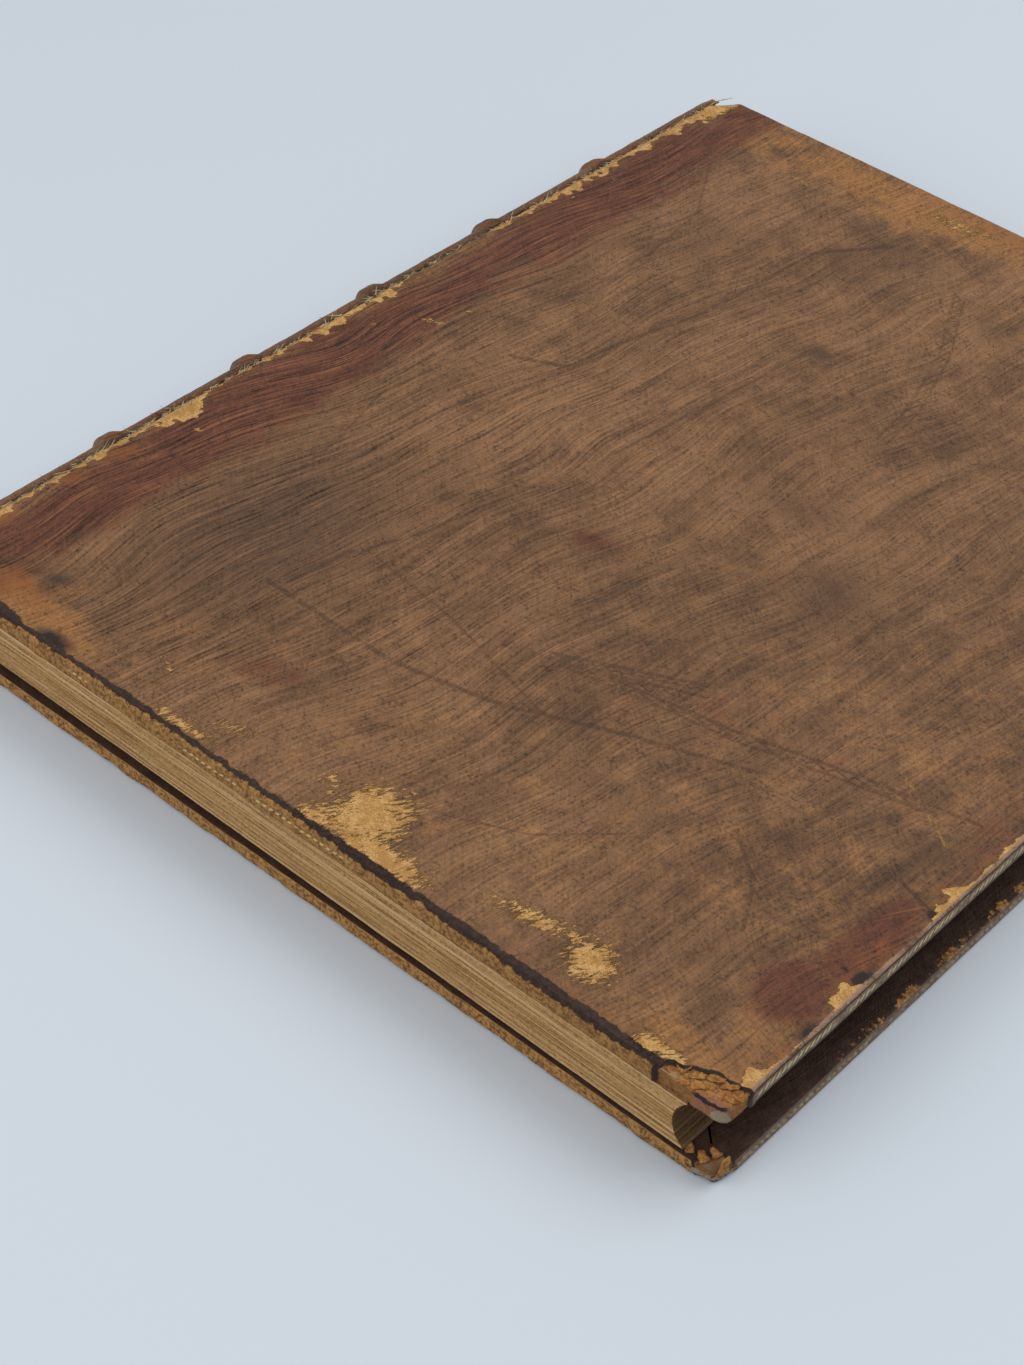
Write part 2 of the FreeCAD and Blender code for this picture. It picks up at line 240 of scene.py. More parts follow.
SCUFFS = (
    ((129, 11), (8, 9), -12, 1.0),
    ((138, 4), (11, 4), 0, 1.0),
    ((123, 5), (5, 4), 0, 0.75),
    ((172, 13), (10, 2.6), 12, 0.78),
    ((187, 12), (6, 5), -30, 0.95),
    ((67, 14), (5, 1.6), -30, 0.6),
    ((91, 10), (7, 2.4), 20, 0.6),
    ((81, 3.5), (9, 1.6), 0, 0.8),
    ((209, 3.6), (3.6, 2.6), 0, 0.95),
    ((214, 4), (3, 2), 0, 0.9),
    ((121, 3), (5, 2.4), 0, 0.9),
    ((117, 13), (3, 3), 0, 0.7),
    ((181, 15), (3, 2), 0, 0.7),
    ((21, 161), (0.9, 1.3), 10, 0.8),
    ((18, 151), (3.6, 0.7), 22, 0.85),
    ((9, 139.5), (0.9, 1.2), 0, 0.8),
    ((10, 77.5), (1.6, 0.6), 30, 0.8),
    ((7, 236), (1.0, 1.6), 0, 0.85),
    ((3.5, 288), (2.5, 8), 0, 0.9),
    ((88, 286), (12, 3), 4, 0.62),
    ((41, 273), (5, 1.2), -10, 0.6),
)

# Places where the dark remains along the tail edge are wide
CRUSTS = (
    ((140, 0), (7, 2), 0, 0.7),
    ((184, 0), (8, 2), 0, 0.6),
    ((199, 0.5), (8, 2), 0, 0.6),
    ((163, 0), (6, 2), 0, 0.4),
    ((24, 1), (4, 3), 0, 0.9),
    ((226, -0.5), (3.4, 3), 0, 1.0),
)

# Lines scored in the upper cover: tone from -1 for dark to 1 for pale, half width, and its points
MARKS = (
    (-0.8, 0.9, ((80, 265), (67, 247), (64, 204), (57.5, 178), (54.5, 160), (42.6, 154))),
    (-0.6, 0.6, ((93, 208), (90, 178), (86, 142))),
    (-0.5, 0.5, ((105, 257), (117, 233), (125, 208), (127, 192))),
    (-0.5, 0.4, ((108, 257), (120, 233), (128, 208), (130, 192))),
    (-0.8, 0.6, ((77, 101), (74, 85), (67, 69), (65, 53))),
    (-0.7, 0.7, ((123, 76), (139, 84), (153, 91))),
    (-0.6, 0.5, ((124, 74), (140, 81), (155, 88))),
    (-0.7, 0.6, ((123, 76), (145, 80), (167, 84), (192, 91), (220, 97))),
    (-0.5, 0.5, ((127, 74), (146, 78), (168, 81.5), (192, 88), (212, 93))),
    (-0.75, 0.8, ((62, 49.5), (99, 49), (125, 55), (151, 67), (178, 77))),
    (-0.4, 0.4, ((69, 73), (99, 69), (135, 59))),
    (0.6, 0.5, ((37, 274), (45, 273))),
    (0.5, 0.5, ((201, 98), (219, 87))),
    (-0.9, 0.5, ((219, 72), (226, 70))),
    (-0.5, 0.4, ((150, 200), (172, 214), (181, 232))),
    (-0.4, 0.4, ((30, 120), (36, 98), (39, 70))),
    (-0.4, 0.5, ((20, 262), (33, 240), (37, 214))),
    (-0.6, 0.5, ((186, 60), (197, 51), (203, 40))),
    (-0.5, 0.3, ((140, 22), (156, 30), (170, 44))),
    (0.4, 0.3, ((48, 12), (60, 8), (78, 6.5))),
    (0.35, 0.3, ((96, 16), (112, 20), (128, 27))),
)

# Curled scales at the upper near corner: across, up, reach, width, heading in degrees, curl
UPPER_FLAKES = (
    (216.4, 2.6, 3.0, 2.4, 60, 0.5),
    (218.6, 3.4, 3.4, 2.2, 20, 0.4),
    (221.4, 5.4, 4.0, 2.0, 10, 0.4),
    (224.6, 5.6, 4.0, 2.0, 15, 0.5),
    (228.0, 5.8, 3.0, 2.2, -30, 0.5),
    (220.0, 1.6, 4.0, 2.2, 20, 0.3),
    (226.6, 3.6, 3.6, 2.4, 10, 0.3),
    (217.6, 1.0, 3.0, 1.8, 0, 0.3),
)

# Curled scales at the lower near corner:
# across, up, height over the inner face, heading, outward, reach, width, curl
LOWER_FLAKES = (
    (229.4, 3.0, -1.6, (0.0, 0.2, 1.0), (1.0, 0.0, 0.0), 3.6, 4.6, -0.15),
    (226.0, 1.6, -0.4, (-1.0, 0.6, 0.1), (0.0, 0.0, 1.0), 3.0, 2.2, 0.2),
    (222.5, 1.4, -0.3, (-0.8, 0.9, 0.1), (0.0, 0.0, 1.0), 2.4, 2.0, 0.2),
    (227.2, 4.4, -0.3, (-1.0, 0.2, 0.1), (0.0, 0.0, 1.0), 2.6, 2.0, 0.2),
)

# Ragged outline of the calf torn at the upper near corner
UPPER_TEAR = (
    (232, -2),
    (232, 7.9),
    (229.4, 7.4),
    (224.7, 6.5),
    (221.8, 6.3),
    (219.1, 5.1),
    (217.0, 3.4),
    (214.6, 2.6),
    (213.2, 0.4),
    (213, -2),
)

# Places up the upper joint where its torn fibres are bunched
FRAYED_PLACES = (24, 52, 77, 81, 100, 130, 151, 154, 214, 230, 262, 286)

# Widths of calf worn through beside the upper joint and beside the fore-edge: up from the tail, width
JOINT_WEAR = (
    (0, 1.6),
    (20, 2.0),
    (45, 1.4),
    (60, 2.0),
    (70, 2.6),
    (75, 6.5),
    (80, 6.0),
    (86, 2.4),
    (95, 1.0),
    (118, 1.2),
    (126, 2.6),
    (138, 2.4),
    (145, 1.2),
    (151, 5.6),
    (156, 3.0),
    (161, 0.4),
    (190, 0.2),
    (196, 1.4),
    (214, 2.2),
    (228, 4.0),
    (236, 3.4),
    (246, 1.8),
    (262, 2.8),
    (280, 3.4),
    (295, 5.5),
)
FORE_WEAR = (
    (0, 0.4),
    (8, 2.6),
    (11, 3.4),
    (15, 1.2),
    (34, 0.6),
    (37, 4.2),
    (42, 3.4),
    (45, 0.4),
    (66, 0.4),
    (72, 4.0),
    (77, 5.0),
    (81, 1.2),
    (96, 2.0),
    (120, 0.6),
    (200, 0.8),
    (295, 1.0),
)

# Rust-coloured calf, streaked calf and, on the lower cover, chips in the calf turned in at the fore-edge
RUST = (
    ((3, 20), (3, 26), 0, 0.75),
    ((3, 66), (5, 16), 0, 0.6),
    ((22, 10), (12, 6), -10, 0.8),
    ((6, 2), (12, 4), 0, 0.7),
    ((229, 17), (5, 8), 0, 0.7),
    ((228, 78), (4, 16), 0, 0.7),
    ((222, 11), (7, 4), 0, 0.55),
    ((227, 56), (3, 14), 0, 0.55),
    ((96, 291), (30, 4), 0, 0.55),
    ((180, 2), (40, 3), 0, 0.45),
    ((220, 2), (8, 3), 0, 0.8),
    ((78, 36), (10, 4), 20, 0.35),
)
STREAKED = (
    ((12, 120), (9, 120), 0, 1.3),
    ((42, 72), (22, 40), 0, 1.0),
    ((60, 150), (26, 50), 0, 0.5),
    ((52, 24), (22, 12), 0, 0.8),
    ((100, 60), (30, 24), 0, 0.4),
)
CHIPS = (
    ((229, 40), (2.4, 4), 0, 0.8),
    ((229, 46.5), (1.6, 3), 0, 0.9),
    ((229, 53), (2.6, 4), 0, 1.0),
    ((229, 63), (4.2, 6), 0, 1.1),
    ((228.5, 80), (3.6, 7), 0, 1.1),
    ((229, 96), (3.0, 6), 0, 1.0),
    ((228.5, 106), (2.2, 3), 0, 1.0),
    ((229, 150), (3.0, 18), 0, 0.7),
    ((229, 230), (3.0, 30), 0, 0.6),
)


def smooth(low, high, value):
    """Share from 0 to 1, easing in and out, as a value goes from low to high."""
    share = np.clip((value - low) / (high - low), 0, 1)
    return share * share * (3 - 2 * share)


def grain(points, size, seed):
    """Smooth random values from -1 to 1 that change over the given size, one for each point."""
    cells = 32
    table = np.random.default_rng(seed).uniform(-1, 1, (cells, cells, cells))
    place = np.asarray(points, float) / size
    low = np.floor(place).astype(int)
    part = place - low
    part = part * part * (3 - 2 * part)
    total = np.zeros(len(place))
    for corner in itertools.product((0, 1), repeat=3):
        share = np.prod(np.where(np.array(corner) == 1, part, 1 - part), axis=1)
        pick = (low + corner) % cells
        total += share * table[pick[:, 0], pick[:, 1], pick[:, 2]]
    return total


def spaced(start, end, fine, coarse, fine_at_start, fine_at_end):
    """Places from start to end, closer together near both ends."""
    first = start + fine_at_start
    last = end - fine_at_end
    parts = ((start, first, fine), (first, last, coarse), (last, end, fine))
    runs = [np.linspace(a, b, max(int(round((b - a) / step)), 1) + 1) for a, b, step in parts]
    return np.unique(np.round(np.concatenate(runs), 5))


def patch(across, up, middle, reach, lean, strength):
    """Soft oval patch."""
    turn = math.radians(lean)
    dx = across - middle[0]
    dy = up - middle[1]
    along = (dx * math.cos(turn) + dy * math.sin(turn)) / reach[0]
    aside = (dy * math.cos(turn) - dx * math.sin(turn)) / reach[1]
    return strength * np.exp(-0.5 * (along ** 2 + aside ** 2))


def patches(across, up, places):
    """The strongest of several soft oval patches."""
    total = np.zeros_like(across)
    for middle, reach, lean, strength in places:
        total = np.maximum(total, patch(across, up, middle, reach, lean, strength))
    return total


def from_line(across, up, line):
    """Distance from a run of points, with its sign from the side that a place is on."""
    best = np.full(across.shape, 1e6)
    side = np.ones_like(across)
    for (ax, ay), (bx, by) in zip(line, line[1:]):
        run_x = bx - ax
        run_y = by - ay
        length = math.hypot(run_x, run_y)
        share = np.clip(((across - ax) * run_x + (up - ay) * run_y) / length ** 2, 0, 1)
        away = np.hypot(across - ax - share * run_x, up - ay - share * run_y)
        left = (run_x * (up - ay) - run_y * (across - ax)) / length
        nearer = away < best
        best = np.where(nearer, away, best)
        side = np.where(nearer, np.where(left < 0, -1.0, 1.0), side)
    return side * best


def inside(across, up, outline):
    """Distance within a closed outline, below zero outside it."""
    loop = list(outline) + [outline[0]]
    away = np.abs(from_line(across, up, loop))
    within = np.zeros(across.shape, bool)
    for (ax, ay), (bx, by) in zip(loop, loop[1:]):
        crosses = (ay > up) != (by > up)
        rise = np.where(by == ay, 1e-9, by - ay)
        within ^= crosses & (across < (bx - ax) * (up - ay) / rise + ax)
    return np.where(within, away, -away)


def marks(across, up, lines):
    """The nearest scored line: place aside of it in its half widths, distance in millimetres, and tone."""
    side = np.full(across.shape, 50.0)
    near = np.full(across.shape, 50.0)
    tone = np.zeros_like(across)
    for strength, half_width, line in lines:
        signed = from_line(across, up, line)
        nearer = np.abs(signed) < near
        side = np.where(nearer, signed / half_width, side)
        near = np.where(nearer, np.abs(signed), near)
        tone = np.where(nearer, strength, tone)
    return np.stack([side, near, np.where(near < 8, tone, 0)], axis=1)


class Shape:
    """Points in millimetres, the faces between them and the values that the finishes read."""

    def __init__(self):
        self.points = []
        self.faces = []
        self.values = {}
        self.count = 0

    def add(self, points, **values):
        """Adds points and their values, and gives the points' numbers."""
        points = np.asarray(points, float).reshape(-1, 3)
        numbers = np.arange(self.count, self.count + len(points))
        self.count += len(points)
        self.points.append(points)
        for name in set(values) | set(self.values):
            width = self.values[name][0].shape[1] if name in self.values else 3
            if name not in self.values:
                self.values[name] = [np.zeros((numbers[0], width))]
            given = values.get(name)
            given = np.zeros((len(points), width)) if given is None else np.asarray(given, float)
            self.values[name].append(given.reshape(len(points), width))
        return numbers

    def weave(self, grid, flip=False):
        """Four-sided faces between the neighbours in a grid of point numbers."""
        a = grid[:-1, :-1].ravel()
        b = grid[1:, :-1].ravel()
        c = grid[1:, 1:].ravel()
        d = grid[:-1, 1:].ravel()
        quads = np.stack([a, d, c, b] if flip else [a, b, c, d], axis=1)
        self.faces.extend(quads.tolist())

    def fan(self, ring, flip=False):
        """One face over a closed ring of point numbers."""
        ring = [int(n) for n in ring]
        self.faces.append(ring[::-1] if flip else ring)

    def make(self, name, finish, body=None, replaces=()):
        """Makes the object, and has it ride on its body."""
        points = np.concatenate(self.points)
        mesh = bpy.data.meshes.new(name)
        mesh.from_pydata((points * MM).tolist(), [], self.faces)
        for label, parts in self.values.items():
            layer = mesh.attributes.new(label, "FLOAT_VECTOR", "POINT")
            layer.data.foreach_set("vector", np.concatenate(parts).astype(np.float32).ravel())
        layer = mesh.attributes.new("spot", "FLOAT_VECTOR", "POINT")
        spots = points - np.array([JOINT_X, TAIL_Y, 0])
        layer.data.foreach_set("vector", spots.astype(np.float32).ravel())
        mesh.polygons.foreach_set("use_smooth", [True] * len(mesh.polygons))
        mesh.materials.append(finish)
        mesh.validate()
        piece = bpy.data.objects.new(name, mesh)
        bpy.context.collection.objects.link(piece)
        if body:
            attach(piece, body)
        if replaces:
            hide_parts(*replaces)
        return piece


class Shade:
    """A socket of a finish. Maths written on it adds Math nodes."""

    def __init__(self, finish, socket):
        self.finish = finish
        self.socket = socket

    def maths(self, operation, *values):
        settings = {"operation": operation}
        return self.finish.add("ShaderNodeMath", settings, dict(enumerate(values)))[0]

    def __add__(self, other):
        return self.maths("ADD", self, other)

    def __radd__(self, other):
        return self.maths("ADD", other, self)

    def __sub__(self, other):
        return self.maths("SUBTRACT", self, other)

    def __rsub__(self, other):
        return self.maths("SUBTRACT", other, self)

    def __mul__(self, other):
        return self.maths("MULTIPLY", self, other)

    def __rmul__(self, other):
        return self.maths("MULTIPLY", other, self)

    def __truediv__(self, other):
        return self.maths("DIVIDE", self, other)

    def __abs__(self):
        return self.maths("ABSOLUTE", self)

    def fraction(self):
        return self.maths("FRACT", self)

    def larger(self, other):
        return self.maths("MAXIMUM", self, other)

    def swing(self, amount):
        """A random value about 0.5 as a push up or down, by half the amount each way."""
        return (self - 0.5) * amount


class Finish:
    """A material, its shader, and the one way in which its nodes are added."""

    def __init__(self, name):
        self.material = bpy.data.materials.new(name)
        self.material.use_nodes = True
        self.tree = self.material.node_tree
        self.shader = self.tree.nodes["Principled BSDF"]

    def join(self, value, socket):
        """Links a value to a socket, or sets it there."""
        if isinstance(value, Shade):
            self.tree.links.new(value.socket, socket)
            return
        if socket.type == "RGBA":
            value = tuple(value)[:3] + (1.0,)
        socket.default_value = value

    def add(self, kind, settings=None, values=None):
        """A node of the given type, with its settings, then the values or links of its sockets."""
        node = self.tree.nodes.new(kind)
        for name, setting in (settings or {}).items():
            setattr(node, name, setting)
        by_name = {socket.identifier: socket for socket in node.inputs}
        for key, value in (values or {}).items():
            self.join(value, node.inputs[key] if isinstance(key, int) else by_name[key])
        return [Shade(self, socket) for socket in node.outputs]

    def surface(self, **sockets):
        """Sets or links the shader's own sockets, named with _ for a space."""
        for name, value in sockets.items():
            self.join(value, self.shader.inputs[name.replace("_", " ")])

    def value(self, label):
        """The three numbers that a mesh holds under a label."""
        vector = self.add("ShaderNodeAttribute", {"attribute_name": label})[1]
        return self.add("ShaderNodeSeparateXYZ", None, {"Vector": vector})

    def spot(self):
        """Place on a made piece, in millimetres."""
        return self.add("ShaderNodeAttribute", {"attribute_name": "spot"})[1]

    def node_spot(self):
        """Place on a carried-over solid, in millimetres."""
        place = self.add("ShaderNodeTexCoord")[3]
        return self.vector("MULTIPLY", place, (1 / MM,) * 3)

    def vector(self, operation, first, second):
        return self.add("ShaderNodeVectorMath", {"operation": operation}, {0: first, 1: second})[0]

    def noise(self, place, size, detail=2.0, roughness=0.5, distortion=0.0):
        """Soft random value about 0.5. The size is in millimetres, one number or one for each axis."""
        sizes = size if isinstance(size, tuple) else (size,) * 3
        scaled = self.vector("DIVIDE", place, sizes)
        values = {
            "Vector": scaled,
            "Scale": 1.0,
            "Detail": detail,
            "Roughness": roughness,
            "Distortion": distortion,
        }
        return self.add("ShaderNodeTexNoise", None, values)[0]

    def turned(self, place, degrees):
        """Place turned about the upright axis."""
        values = {"Vector": place, "Rotation": (0, 0, math.radians(degrees))}
        return self.add("ShaderNodeMapping", None, values)[0]

    def warped(self, place, size, amount):
        """Place pushed aside by a soft random amount, so that straight streaks swirl."""
        sizes = self.vector("DIVIDE", place, (size,) * 3)
        pushes = self.add("ShaderNodeTexNoise", None, {"Vector": sizes, "Scale": 1.0, "Detail": 1.0})[1]
        centred = self.vector("SUBTRACT", pushes, (0.5,) * 3)
        return self.vector("ADD", place, self.vector("MULTIPLY", centred, (amount,) * 3))

    def step(self, value, low, high):
        """Mask that goes smoothly from 0 at low to 1 at high."""
        settings = {"interpolation_type": "SMOOTHSTEP"}
        values = {"Value": value, "From Min": low, "From Max": high}
        return self.add("ShaderNodeMapRange", settings, values)[0]

    def mix(self, mask, under, over, kind="MIX"):
        """Colour under, with the colour over it where the mask is 1."""
        settings = {"data_type": "RGBA", "blend_type": kind}
        values = {"Factor_Float": mask, "A_Color": under, "B_Color": over}
        return self.add("ShaderNodeMix", settings, values)[2]

    def bump(self, height, depth, under=None):
        """Normal for a height of 0 to 1 that stands for a depth in millimetres."""
        values = {"Height": height, "Distance": depth * MM, "Strength": 1.0}
        if under is not None:
            values["Normal"] = under
        return self.add("ShaderNodeBump", None, values)[0]


def linear(red, green, blue):
    """Colour written as display values from 0 to 255, as Blender's own linear numbers."""
    shares = [value / 255 for value in (red, green, blue)]
    return tuple(s / 12.92 if s <= 0.04045 else ((s + 0.055) / 1.055) ** 2.4 for s in shares)


def colour(name, description, default):
    """Colour that a user can change."""
    return FloatVectorProperty(
        name=name, description=description, subtype="COLOR", size=3, min=0, max=1, default=default
    )


def length(name, description, millimetres):
    """Length that a user can change."""
    return FloatProperty(
        name=name, description=description, unit="LENGTH", min=0, default=millimetres * MM
    )


class BookSizes(bpy.types.PropertyGroup):
    """Sizes of the detail laid over the frame."""

    cover_step: length("Cover mesh step", "Distance between points on a cover", 1.12)
    edge_step: length("Edge mesh step", "Distance between points near a cover's edges", 0.6)
    spine_step: length("Spine mesh step", "Distance between points on the spine", 0.75)
    leaf_step: length("Leaf mesh step", "Distance between points along the leaves' edges", 1.3)
    leaf_group: length("Leaf group", "Average thickness of the groups of leaves that show apart", 0.3)
    dash_pitch: length("Gilt dash pitch", "Distance between the dashes of the edge roll", 1.8)
    thread_pitch: length("Thread pitch", "Distance between the endbands' turns of thread", 0.8)
    fibre_length: length("Fibre length", "Average length of the torn fibres in the upper joint", 2.6)
    fibres: IntProperty(name="Fibres", description="Torn fibres in the upper joint", min=0, default=900)


class BookColours(bpy.types.PropertyGroup):
    """Colours of the book and of what it lies on."""

    calf_dark: colour("Calf, dark", "Darker parts of the covers", linear(94, 67, 46))
    calf: colour("Calf", "Most of the covers", linear(130, 95, 65))
    calf_warm: colour("Calf, warm", "Handled and faded parts of the covers", linear(146, 102, 60))
    smudge: colour("Smudge", "Dark stains on the calf", linear(70, 51, 41))
    oxblood: colour("Oxblood", "Reddish strip and stains", linear(96, 58, 41))
    scuff: colour("Scuff", "Calf rubbed through its surface", linear(176, 130, 72))
    scuff_pale: colour("Scuff, pale", "Brightest parts of the scuffs", linear(208, 165, 104))
    suede: colour("Suede", "Worn edges of the calf", linear(174, 129, 74))
    # Also paints the shade in the gaps between leaves and in the grooves of cord and thread
    suede_dark_and_shade: colour("Suede, dark", "Speckles of the worn edges", linear(104, 71, 40))
    flesh: colour("Flesh side", "Pinkish calf where its surface has come off", linear(136, 92, 74))
    # Painted reflection: the silvery sheen of light along the fore-edges' band that carries the roll
    edge_band: colour("Edge band", "Band along the fore-edges that carries the roll", linear(140, 122, 102))
    rust: colour("Rust", "Torn calf at the corners", linear(138, 84, 44))
    crust: colour("Crust", "Dark ragged remains along the edges", linear(48, 36, 32))
    # Dark calf turned in at the covers' edges; the same colour paints the shade on the leaves' hollow
    # fore-edge
    edge_calf_and_shade: colour("Edge calf", "Polished calf on the fore-edges", linear(50, 31, 22))
    gilt: colour("Gilt", "Dashes of the edge roll", linear(206, 184, 128))
    # On the top arris of the fore and head edges this pale rub also serves as a painted highlight
    arris: colour("Arris", "Rubbed corner of the covers' edges", linear(158, 126, 104))
    leaves: colour("Leaves", "Cut edges of the leaves", linear(186, 148, 96))
    # Partly painted shade in the gaps between leaves, partly the tone of darker leaves
    leaves_dark: colour("Leaves, dark", "Gaps and toned leaves", linear(120, 86, 50))
    leaves_pale: colour("Leaves, pale", "Palest leaves", linear(204, 170, 124))
    page: colour("Page", "Face of the outermost leaf", linear(206, 190, 158))
    endpaper: colour("Endpaper", "Paper pasted inside the covers", linear(196, 178, 144))
    foxing: colour("Foxing", "Brown spots and stains of paper", linear(146, 106, 66))
    pasteboard: colour("Pasteboard", "Core of the covers", linear(140, 126, 104))
    fibre: colour("Fibre", "Torn fibres in the joint", linear(186, 174, 138))
    hemp: colour("Hemp", "Sewing cords", linear(160, 140, 104))
    thread: colour("Thread", "Thread of the endbands", linear(172, 150, 112))
    floor: colour("Floor", "Table top and background", linear(203, 211, 220))


def sizes():
    return bpy.context.scene.book_sizes


def colours():
    return bpy.context.scene.book_colours


class Calf(Finish):
    """Finish of old calf, laid on in layers: each adds its own colour to the colour so far."""

    def __init__(self, name):
        super().__init__(name)
        self.place = self.spot()
        self.broad = self.noise(self.place, 48.0, 2.0)
        self.mottle = self.noise(self.place, 10.0, 4.0, 0.62)
        self.cloud = self.noise(self.place, 3.0, 4.0, 0.66)
        self.speck = self.noise(self.place, 0.75, 2.0, 0.6)
        self.pores = self.noise(self.place, 0.4, 1.0)
        self.rough = self.noise(self.place, 2.4, 6.0, 0.75)
        self.tooth = self.noise(self.place, 0.9, 4.0, 0.7)
        swirl = self.warped(self.place, 60.0, 20.0)
        flow = self.turned(swirl, 7)
        self.sweep = self.noise(flow, (5.0, 60.0, 9.0), 3.0, 0.6)
        self.streak = self.noise(flow, (0.6, 24.0, 4.0), 3.0, 0.7)
        self.second = self.noise(self.turned(swirl, -40), (0.5, 9.0, 4.0), 2.0, 0.65)
        self.ragged = self.noise(self.turned(swirl, 30), (0.7, 2.6, 2.0), 5.0, 0.75)
        hair = self.noise(self.turned(swirl, 24), (0.3, 20.0, 4.0), 1.0)
        cross = self.noise(self.turned(swirl, -58), (0.35, 24.0, 4.0), 1.0)
        self.scratch = self.step(hair + self.mottle.swing(0.3), 0.64, 0.74)
        self.crease = self.step(cross + self.broad.swing(0.3), 0.33, 0.24)
        self.along, self.over, self.tail = self.value("edge")
        self.over_rough = self.over + self.rough.swing(3.4)

    def ground(self, tint):
        """Unworn calf, cloudy and streaked, with stains, reddened and rusty parts, and on the spine the
        painted shade of the joint cracks.
        """
        warm, dark, red = self.value("tone")
        rusty, _, streaky = self.value("stain")
        share = self.step(self.broad * 0.7 + self.sweep * 0.6 + self.mottle * 0.6, 0.6, 1.2)
        base = self.mix(share, tint.calf_dark, tint.calf)
        warmed = warm + self.mottle.swing(1.3) + self.cloud.swing(0.6)
        base = self.mix(self.step(warmed, 0.15, 0.9), base, tint.calf_warm)
        # Dark stains; on the spine this also carries the painted shade of the joint cracks
        stain_and_shade = dark + self.cloud.swing(0.7) + self.mottle.swing(0.5)
        stain_and_shade = stain_and_shade + self.sweep.swing(0.5) + self.streak.swing(0.8)
        base = self.mix(self.step(stain_and_shade, 0.3, 1.1) * 0.85, base, tint.smudge)
        reddened = red + self.mottle.swing(1.2) + self.sweep.swing(1.0)
        base = self.mix(self.step(reddened, 0.2, 0.8), base, tint.oxblood)
        light = 1 + self.streak.swing(1.7 + streaky * 2.6) + self.second.swing(0.6) + self.cloud.swing(0.5)
        light = light + self.speck.swing(0.9) + self.mottle.swing(0.3) + self.sweep.swing(0.2)
        grey = self.add("ShaderNodeCombineColor", None, {"Red": light, "Green": light, "Blue": light})[0]
        base = self.mix(1.0, base, grey, "MULTIPLY")
        base = self.mix(self.scratch * 0.4, base, tint.calf_warm)
        brushed = self.step(self.streak + self.mottle.swing(0.5), 0.58, 0.7) * streaky
        base = self.mix(brushed * 0.45, base, tint.calf_warm)
        base = self.mix(self.crease * 0.2, base, tint.smudge)
        rusted = rusty + self.mottle.swing(1.6) + self.streak.swing(1.2) + self.cloud.swing(1.0)
        base = self.mix(self.step(rusted, 0.3, 1.1) * 0.75, base, tint.rust)
        # Blackest stains, and on the spine the painted shade of the joint cracks
        base = self.mix(self.step(dark + self.cloud.swing(1.2), 1.1, 1.4), base, tint.crust)
        return self.mix(self.step(self.speck + self.cloud.swing(0.6), 0.37, 0.26) * 0.4, base, tint.crust)

    def scored(self, tint, base):
        """Colour with the scored lines, dark or pale, and where they lie."""
        side, near, mark = self.value("mark")
        wobble = 0.4 + self.cloud * 1.2
        line = self.step(abs(side + self.cloud.swing(2.0)) / wobble, 1.2, 0.3) * self.step(near, 1.7, 1.2)
        line = line * self.step(self.second + self.cloud.swing(1.0), 0.36, 0.6)
        base = self.mix(line * (0 - mark).larger(0.0) * 0.8, base, tint.smudge)
        return self.mix(line * mark.larger(0.0), base, tint.scuff), line

    def scuffed(self, tint, base):
        """Colour with the calf rubbed through its surface, and where that is."""
        scuff = self.value("wear")[0]
        rubbed = self.step(scuff + self.ragged.swing(2.3) + self.streak.swing(0.6), 0.54, 0.68)
        pale = self.mix(self.step(self.cloud + self.pores.swing(0.8), 0.4, 0.66), tint.scuff, tint.scuff_pale)
        return self.mix(rubbed * 0.92, base, pale), rubbed

    def suede_edge(self, tint):
        """Tail and head edges, worn to suede and darkened by soil."""
        soil_and_shade = self.value("dirt")[0]
        nap = self.step(self.tooth + self.rough.swing(0.6), 0.36, 0.62)
        suede = self.mix(nap, tint.suede_dark_and_shade, tint.suede)
        suede = self.mix(self.step(self.rough + self.speck.swing(0.5), 0.54, 0.7), suede, tint.scuff)
        return self.mix(soil_and_shade * (0.35 + self.mottle.swing(1.0)), suede, tint.suede_dark_and_shade)

    def fore_edge(self, tint):
        """Fore-edges, given a polish by hands, their pale band a painted silvery reflection, with a dark line
        along both sides.
        """
        # Painted reflection: the edge band's colour stands for the silvery sheen of light on the calf's
        # polish
        shine = self.step(self.rough + self.speck.swing(0.6), 0.35, 0.7)
        sheened_edge = self.mix(shine, tint.calf_dark, tint.edge_band)
        upper_line = self.step(abs(self.over - 1.35), 0.24, 0.12)
        lower_line = self.step(abs(self.over - 4.6), 0.26, 0.14)
        return self.mix(upper_line.larger(lower_line), sheened_edge, tint.crust)

    def gilt_dashes(self):
        """Where the slanting dashes of the roll are left."""
        roll = self.value("trim")[2]
        slant = (self.along / (sizes().dash_pitch / MM) + self.over * 0.42).fraction()
        dash = self.step(abs(slant - 0.5), 0.32, 0.2) * self.step(abs(self.over - 3.0), 0.8, 0.5)
        left = self.step(self.noise(self.place, 9.0, 3.0), 0.36, 0.5) * roll
        return dash * (1 - self.tail * self.step(abs(self.over - 3.0), 0.2, 0.5)) * left

